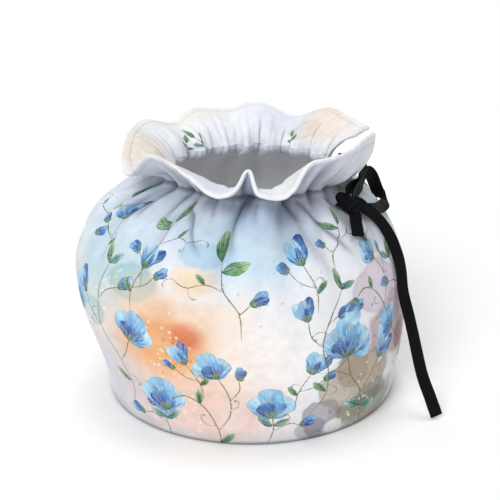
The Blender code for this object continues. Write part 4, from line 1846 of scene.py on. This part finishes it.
@dataclass
class Wrap:
    """The cosy's cloth: the belly's front and back and the frill."""

    form: ClothForm = field(default_factory=ClothForm)
    design: FlowerPrint = field(default_factory=FlowerPrint)
    cloth: PrintedCloth = field(default_factory=PrintedCloth)
    side_turn: float = 192.0  # where the front and back pieces meet beside the side hole
    hole_turn: float = 173.0
    hole_height: float = 84.0
    hole_radius: float = 19.5
    hole_depth: float = 60.0
    hole_corners: int = 96
    sharp: float = 50.0  # degrees between faces, from where an edge looks sharp

    def cut_side_hole(self, back: bpy.types.Object) -> None:
        """Cuts the round hole through the belly, opposite the slit."""
        turn = math.radians(self.hole_turn)
        reach = self.form.radii.max()
        bpy.ops.object.select_all(action="DESELECT")
        bpy.ops.mesh.primitive_cylinder_add(
            vertices=self.hole_corners,
            radius=self.hole_radius * MM,
            depth=self.hole_depth * MM,
            location=(reach * math.cos(turn), reach * math.sin(turn), self.hole_height * MM),
            rotation=(0, math.pi / 2, turn),
        )
        cutter = bpy.context.object
        select_only(back)
        hole = back.modifiers.new("side hole", "BOOLEAN")
        hole.operation = "DIFFERENCE"
        hole.object = cutter
        bpy.ops.object.modifier_apply(modifier=hole.name)
        bpy.data.objects.remove(cutter)

    def build(self) -> list[bpy.types.Object]:
        """Builds the cloth's pieces, dressed, attached to the root body, and hides the model's
        cloth_wrap.

        Returns:
            The pieces.
        """
        body, whole, side = self.form.body_length, self.form.whole_length, self.side_turn
        cuts = (
            Cut("cloth_front", 0, body, side, None, 0.85, 0.74, 6.0, False, (0.268, 0.172)),
            Cut("cloth_back", 0, body, None, side, 1.15, 1.15, 6.0, False, (0.288, 0.172)),
            Cut("cloth_frill", body, whole, None, None, 0.75, 0.8, 0.85, True, (0.470, 0.037)),
        )
        pieces = [ClothPiece(cut, self.form, self.design).build() for cut in cuts]
        self.cut_side_hole(pieces[1])
        material = self.cloth.build()
        for piece, cut in zip(pieces, cuts):
            select_only(piece)
            bpy.ops.object.shade_smooth_by_angle(angle=math.radians(self.sharp))
            dress(piece, material)
            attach(piece, "root")
            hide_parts("cloth_wrap")
            LOG.info("%s: %d faces", piece.name, len(piece.data.polygons))
        return pieces


# ---- the ribbon

Route = tuple[tuple[float, ...], ...]


@dataclass
class RibbonTie:
    """The black ribbon: its knot, two free tails, the strand to the neck's far side and a loop."""

    form: ClothForm
    finish: BlackRibbon = field(default_factory=BlackRibbon)
    wide: float = 7.6
    thick: float = 0.55
    rolled_from: float = 0.4  # share of the width from the middle, where the rolled edge starts
    rolled: float = 0.62  # its half thickness, as a share of the whole
    edge_left: float = 0.35  # what is left of that at the very edge
    cup: float = 0.35  # mm that the strip's middle stands out
    sunk: float = 0.2
    ripple: float = 0.18
    ripple_run: float = 5.3
    ripple_across: float = 7.0
    sharp: float = 60.0  # degrees between faces, from where an edge looks sharp
    steps: int = 10
    notch: float = 1.4
    long_tail_length: float = 0.147
    # a tail's rows: turn in degrees, height and lift off the cloth in mm, facing and lean
    short_tail: Route = (
        (-35.6, 129.6, 7.6, -60.0, 46.0),
        (-36.4, 125.3, 5.6, -60.0, 44.0),
        (-37.4, 122.4, 4.5, -60.0, 41.0),
        (-38.6, 119.2, 3.9, -60.0, 38.0),
        (-40.0, 116.0, 3.7, -60.0, 36.0),
    )
    long_tail: Route = (
        (-34.6, 131.2, 9.4, -58.0, 52.0),
        (-31.0, 130.2, 10.2, -58.0, 50.0),
        (-29.2, 127.0, 8.6, -58.0, 44.0),
        (-26.4, 123.2, 7.8, -58.0, 38.0),
        (-23.9, 117.2, 7.0, -58.0, 30.0),
        (-22.3, 109.0, 6.2, -58.0, 20.0),
        (-22.0, 99.0, 5.8, -58.0, 12.0),
        (-22.0, 87.0, 5.7, -58.0, 6.0),
        (-23.2, 73.0, 6.4, -59.0, 0.0),
        (-25.4, 51.0, 12.6, -61.0, -8.0),
        (-27.0, 30.5, 20.2, -62.0, -13.0),
        (-27.5, 12.6, 30.4, -62.0, -20.0),
        (-27.3, 2.2, 36.8, -62.0, -26.0),
    )
    # a strand's rows: x, y and z in mm, and the way across its width
    far_strand: Route = (
        (59.2, -35.4, 136.5, 0.0, 0.0, 1.0),
        (62.4, -28.7, 136.9, 0.0, 0.0, 1.0),
        (67.0, -21.4, 136.6, 0.0, 0.0, 1.0),
        (68.5, -12.9, 136.5, 0.0, 0.0, 1.0),
        (70.6, -6.2, 136.4, 0.0, 0.0, 1.0),
        (72.0, -0.8, 136.4, -0.1, 0.0, 1.0),
        (72.4, 3.2, 137.5, -0.2, 0.0, 1.0),
        (73.9, 6.8, 138.8, -0.3, -0.1, 0.9),
        (74.4, 10.6, 140.0, -0.3, -0.2, 0.9),
        (72.2, 15.2, 140.2, -0.3, -0.3, 0.9),
        (66.4, 19.6, 139.4, -0.35, -0.45, 0.82),
        (59.6, 21.9, 138.8, -0.35, -0.45, 0.82),
    )
    loop: Route = (
        (63.1, -36.9, 132.9, -0.2, -0.2, 0.95),
        (65.4, -30.2, 134.8, -0.2, -0.1, 0.95),
        (68.8, -22.1, 136.3, -0.1, 0.0, 0.99),
        (70.7, -13.8, 137.3, 0.0, 0.0, 1.0),
        (72.6, -7.8, 138.2, 0.1, 0.0, 0.99),
        (74.6, -3.4, 138.0, 0.35, 0.1, 0.93),
        (77.2, -0.4, 134.6, 0.75, 0.1, 0.6),
        (79.6, 2.2, 129.0, 0.92, -0.1, 0.35),
        (81.9, 3.8, 123.4, 0.98, -0.1, 0.1),
        (84.2, 1.8, 120.0, 0.85, 0.1, -0.45),
        (85.2, -4.8, 119.3, 0.7, 0.0, -0.7),
        (82.8, -12.2, 119.6, 0.68, -0.16, -0.7),
        (80.1, -19.8, 121.1, 0.66, -0.24, -0.7),
        (76.9, -26.8, 123.2, 0.64, -0.3, -0.7),
        (73.4, -30.5, 124.3, 0.62, -0.38, -0.68),
        (70.2, -32.2, 125.0, 0.6, -0.42, -0.68),
    )
    knot_middle: tuple[float, float, float] = (59.5, -40.2, 131.3)
    knot_long: tuple[float, float, float] = (0.69, -0.44, -0.58)
    knot_out: tuple[float, float, float] = (0.25, -0.62, 0.75)
    knot_half: tuple[float, float, float] = (8.0, 4.4, 3.3)
    knot_powers: tuple[float, float, float] = (0.8, 0.5, 0.62)  # boxy below 1
    knot_fill: tuple[float, float, float] = (0.97, 0.84, 0.8)  # shares of its half sizes
    knot_taper: float = 0.16
    knot_slant: float = 0.35  # how far its folds lean
    knot_folds: int = 3
    knot_crease: float = 0.10
    band_wide: float = 6.4
    band_fill: tuple[float, float, float] = (0.16, 0.98, 0.98)
    band_power: float = 0.55
    band_lean: float = 0.25
    band_corners: int = 72

    def over_cloth(self, route: Route) -> tuple[np.ndarray, np.ndarray]:
        """A tail's points and the ways across its width.

        Args:
            route: the tail's way over the cloth.

        Returns:
            The points in metres, and a unit direction for each.
        """
        form = self.form
        turn, height, lift, facing, lean = curve_through(np.array(route, float), self.steps).T
        turn, facing, lean = np.radians(turn), np.radians(facing), np.radians(lean)
        low = np.minimum(smooth(height * MM, form.heights, form.stations), form.throat)
        radius = form.body(low, form.radii) + lift * MM
        x = form.body(low, form.shifts) + radius * np.cos(turn)
        y = form.front_to_side * radius * np.sin(turn)
        points = np.stack([x, y, height * MM], axis=-1)
        level = np.stack([np.cos(facing), np.sin(facing), 0 * facing], axis=-1)
        face = level * np.cos(lean)[:, None] + np.outer(np.sin(lean), (0, 0, 1))
        return points, unit(np.cross(np.gradient(points, axis=0), face))

    def strip(
        self,
        name: str,
        points: np.ndarray,
        side: np.ndarray,
        notch: float = 0.0,
        closed: bool = False,
    ) -> bpy.types.Object:
        """A woven strip along a route, a little cupped, with firm rolled edges.

        Args:
            name: the piece's name.
            points: the route.
            side: the way across at each point.
            notch: how far the middle of the far end is cut back, in mm.
            closed: whether the strip is a ring.

        Returns:
            The strip.
        """
        along = unit(np.gradient(points, axis=0))
        side = unit(side - along * (side * along).sum(axis=-1, keepdims=True))
        out = np.cross(side, along)
        wide = self.band_wide if closed else self.wide
        share = STRIP_SHARES
        half = np.where(abs(share) > self.rolled_from, self.rolled, 0.5) * self.thick
        half[[0, -1]] *= self.edge_left
        cup = self.cup * (1 - (2 * share) ** 2)
        run = np.concatenate([[0], np.cumsum(np.linalg.norm(np.diff(points, axis=0), axis=1))]) / MM
        ripple = self.ripple * np.sin(run / self.ripple_run)[:, None]
        ripple = ripple * np.sin(share * self.ripple_across)[None, :]
        middle = points[:, None] + side[:, None] * (share * wide * MM)[None, :, None]
        middle[-1] -= along[-1] * (notch * MM * (1 - 2 * abs(share)))[:, None]
        lift = (cup[None, :] + ripple - self.sunk)[..., None] * MM
        top = middle + out[:, None] * (lift + half[None, :, None] * MM)
        bottom = middle + out[:, None] * (lift - half[None, :, None] * MM)
        ring = np.concatenate([top, bottom[:, ::-1]], axis=1)
        rows, columns = ring.shape[:2]
        faces = []
        for i in range(rows if closed else rows - 1):
            a, b = i * columns, (i + 1) % rows * columns
            for j in range(columns):
                k = (j + 1) % columns
                faces.append((a + j, a + k, b + k, b + j))
        if not closed:
            last = (rows - 1) * columns
            faces += [tuple(range(columns))[::-1], tuple(range(last, last + columns))]
        piece = mesh_object(name, ring.reshape(-1, 3), faces)
        across = np.concatenate([share, share[::-1]]) * wide
        flat = np.stack(np.broadcast_arrays(across[None, :], run[:, None]), axis=-1)
        put_flat_map(piece, "ribbon_flat", flat.reshape(-1, 2))
        select_only(piece)
        bpy.ops.object.mode_set(mode="EDIT")
        bpy.ops.mesh.select_all(action="SELECT")
        bpy.ops.mesh.normals_make_consistent(inside=False)
        bpy.ops.object.mode_set(mode="OBJECT")
        bpy.ops.object.shade_smooth_by_angle(angle=math.radians(self.sharp))
        return piece

    def knot_lump(self, axes: np.ndarray) -> bpy.types.Object:
        """The knot's wound lump with its folds.

        Args:
            axes: the ways along, across and out of the knot.

        Returns:
            The lump.
        """
        bpy.ops.object.select_all(action="DESELECT")
        bpy.ops.mesh.primitive_uv_sphere_add(segments=96, ring_count=64, radius=1)
        lump = bpy.context.object
        lump.name = "ribbon_knot_folds"
        co = np.empty(len(lump.data.vertices) * 3, np.float32)
        lump.data.vertices.foreach_get("co", co)
        across, up, along = co.reshape(-1, 3).astype(float).T
        slant = along + across * self.knot_slant
        groove = 0.5 + 0.5 * np.cos(self.knot_folds * math.pi * slant)
        taper = 1 - self.knot_taper * abs(boxed(along, self.knot_powers[0])) ** 3
        crease = 1 - self.knot_crease * groove**6
        ways = (
            (along, across, up),
            self.knot_powers,
            self.knot_half,
            self.knot_fill,
            (1.0, taper, crease),
        )
        local = [
            boxed(way, power) * half * fill * less for way, power, half, fill, less in zip(*ways)
        ]
        local = np.stack(local, axis=-1)
        world = (np.array(self.knot_middle) + local @ axes) * MM
        lump.data.vertices.foreach_set("co", world.astype(np.float32).ravel())
        put_flat_map(lump, "ribbon_flat", local[:, [1, 0]])
        lump.data.shade_smooth()
        return lump

    def knot(self) -> bpy.types.Object:
        """The knot: a wound lump with folds, and a band drawn tight about its middle."""
        long_way = unit(np.array(self.knot_long))
        out = unit(np.array(self.knot_out) - long_way * np.dot(self.knot_out, long_way))
        axes = np.array([long_way, np.cross(out, long_way), out])
        lump = self.knot_lump(axes)

        angle = np.linspace(0, TURN, self.band_corners + 1)[:-1]
        flat_cos, flat_sin = (boxed(way, self.band_power) for way in (np.cos(angle), np.sin(angle)))
        reach = np.stack([flat_sin, flat_cos, flat_sin], axis=-1)
        reach = reach * (np.array(self.band_fill) * self.knot_half)
        ring = (np.array(self.knot_middle) + reach @ axes) * MM
        side = np.tile(unit(long_way + self.band_lean * axes[1]), (len(ring), 1))
        band = self.strip("ribbon_knot_band", ring, side, closed=True)
        select_only(lump)
        band.select_set(True)
        bpy.ops.object.join()
        lump.name = lump.data.name = "ribbon_knot_wound"
        return lump

    def build(self) -> list[bpy.types.Object]:
        """Builds the ribbon's pieces, dressed, attached to the root body, and hides the model's
        parts that they replace.

        Returns:
            The pieces.
        """
        long_points, long_side = self.over_cloth(self.long_tail)
        short_points, short_side = self.over_cloth(self.short_tail)
        made = {
            "ribbon_long_tail": self.strip("ribbon_long_end", long_points, long_side),
            "ribbon_short_tail": self.strip(
                "ribbon_short_end", short_points, short_side, self.notch
            ),
            "ribbon_knot": self.knot(),
        }
        for node, name, route in (
            ("ribbon_far_strand", "ribbon_far_run", self.far_strand),
            ("ribbon_loop", "ribbon_bow_run", self.loop),
        ):
            rows = curve_through(np.array(route, float), self.steps)
            made[node] = self.strip(name, rows[:, :3] * MM, rows[:, 3:])
        material = self.finish.build()
        for node, piece in made.items():
            dress(piece, material)
            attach(piece, "root")
            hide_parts(node)
            LOG.info("%s: %d faces", piece.name, len(piece.data.polygons))
        return list(made.values())


# ---- the studio


class Lamp(NamedTuple):
    """A lamp as far off as the sun: its strength, and its spread and direction in degrees."""

    name: str
    energy: float
    spread: float
    tilt: float
    around: float


@dataclass
class Studio:
    """A white paper sweep under broad soft light, and the camera."""

    camera_place: tuple[float, float, float] = (-0.0006, -0.70, 0.364)
    camera_down: float = 21.58
    camera_roll: float = -0.463
    sensor: float = 36.0
    focal: float = 1238 * 36 / 500  # mm; 1238 pixels of a picture 500 wide on that sensor
    view_end: float = 50.0
    floor_size: float = 14.0
    floor_height: float = -0.0001
    sky: float = 0.46
    lamp_height: float = 2.0
    lamps: tuple[Lamp, ...] = (
        Lamp("top light", 0.82, 24, -9, -10),
        Lamp("front light", 1.52, 27, 46, -26),
    )
    finish: StudioFloor = field(default_factory=StudioFloor)

    def camera(self) -> None:
        """Places the camera at the photograph's angle."""
        down, roll = math.radians(90 - self.camera_down), math.radians(self.camera_roll)
        bpy.ops.object.camera_add(location=self.camera_place, rotation=(down, 0, roll))
        camera = bpy.context.object
        camera.data.sensor_width = self.sensor
        camera.data.lens = self.focal
        camera.data.clip_end = self.view_end
        bpy.context.scene.camera = camera

    def floor(self) -> None:
        """Lays the paper."""
        bpy.ops.object.select_all(action="DESELECT")
        place = (0, 0, self.floor_height)
        bpy.ops.mesh.primitive_plane_add(size=self.floor_size, location=place)
        floor = bpy.context.object
        floor.name = "studio_floor"
        dress(floor, self.finish.build())

    def light(self) -> None:
        """Sets the sky and the lamps."""
        world = bpy.data.worlds.new("studio light")
        bpy.context.scene.world = world
        world.use_nodes = True
        ground = world.node_tree.nodes["Background"]
        ground.inputs["Color"].default_value = opaque("#FFFFFF")
        ground.inputs["Strength"].default_value = self.sky
        for row in self.lamps:
            rotation = (math.radians(row.tilt), 0, math.radians(row.around))
            place = (0, 0, self.lamp_height)
            bpy.ops.object.light_add(type="SUN", location=place, rotation=rotation)
            lamp = bpy.context.object
            lamp.name = row.name
            lamp.data.energy = row.energy
            lamp.data.angle = math.radians(row.spread)
        bpy.context.scene.view_settings.view_transform = "Standard"

    def build(self) -> None:
        """Builds the whole studio."""
        self.camera()
        self.floor()
        self.light()


def main() -> None:
    """Builds the studio, the ribbon and the cloth."""
    logging.basicConfig(level=logging.INFO)
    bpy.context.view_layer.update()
    Studio().build()
    form = ClothForm()
    pieces = RibbonTie(form).build() + Wrap(form).build()
    for piece in pieces:
        LOG.info("%s is in place", piece.name)


if __name__ == "__main__":
    main()
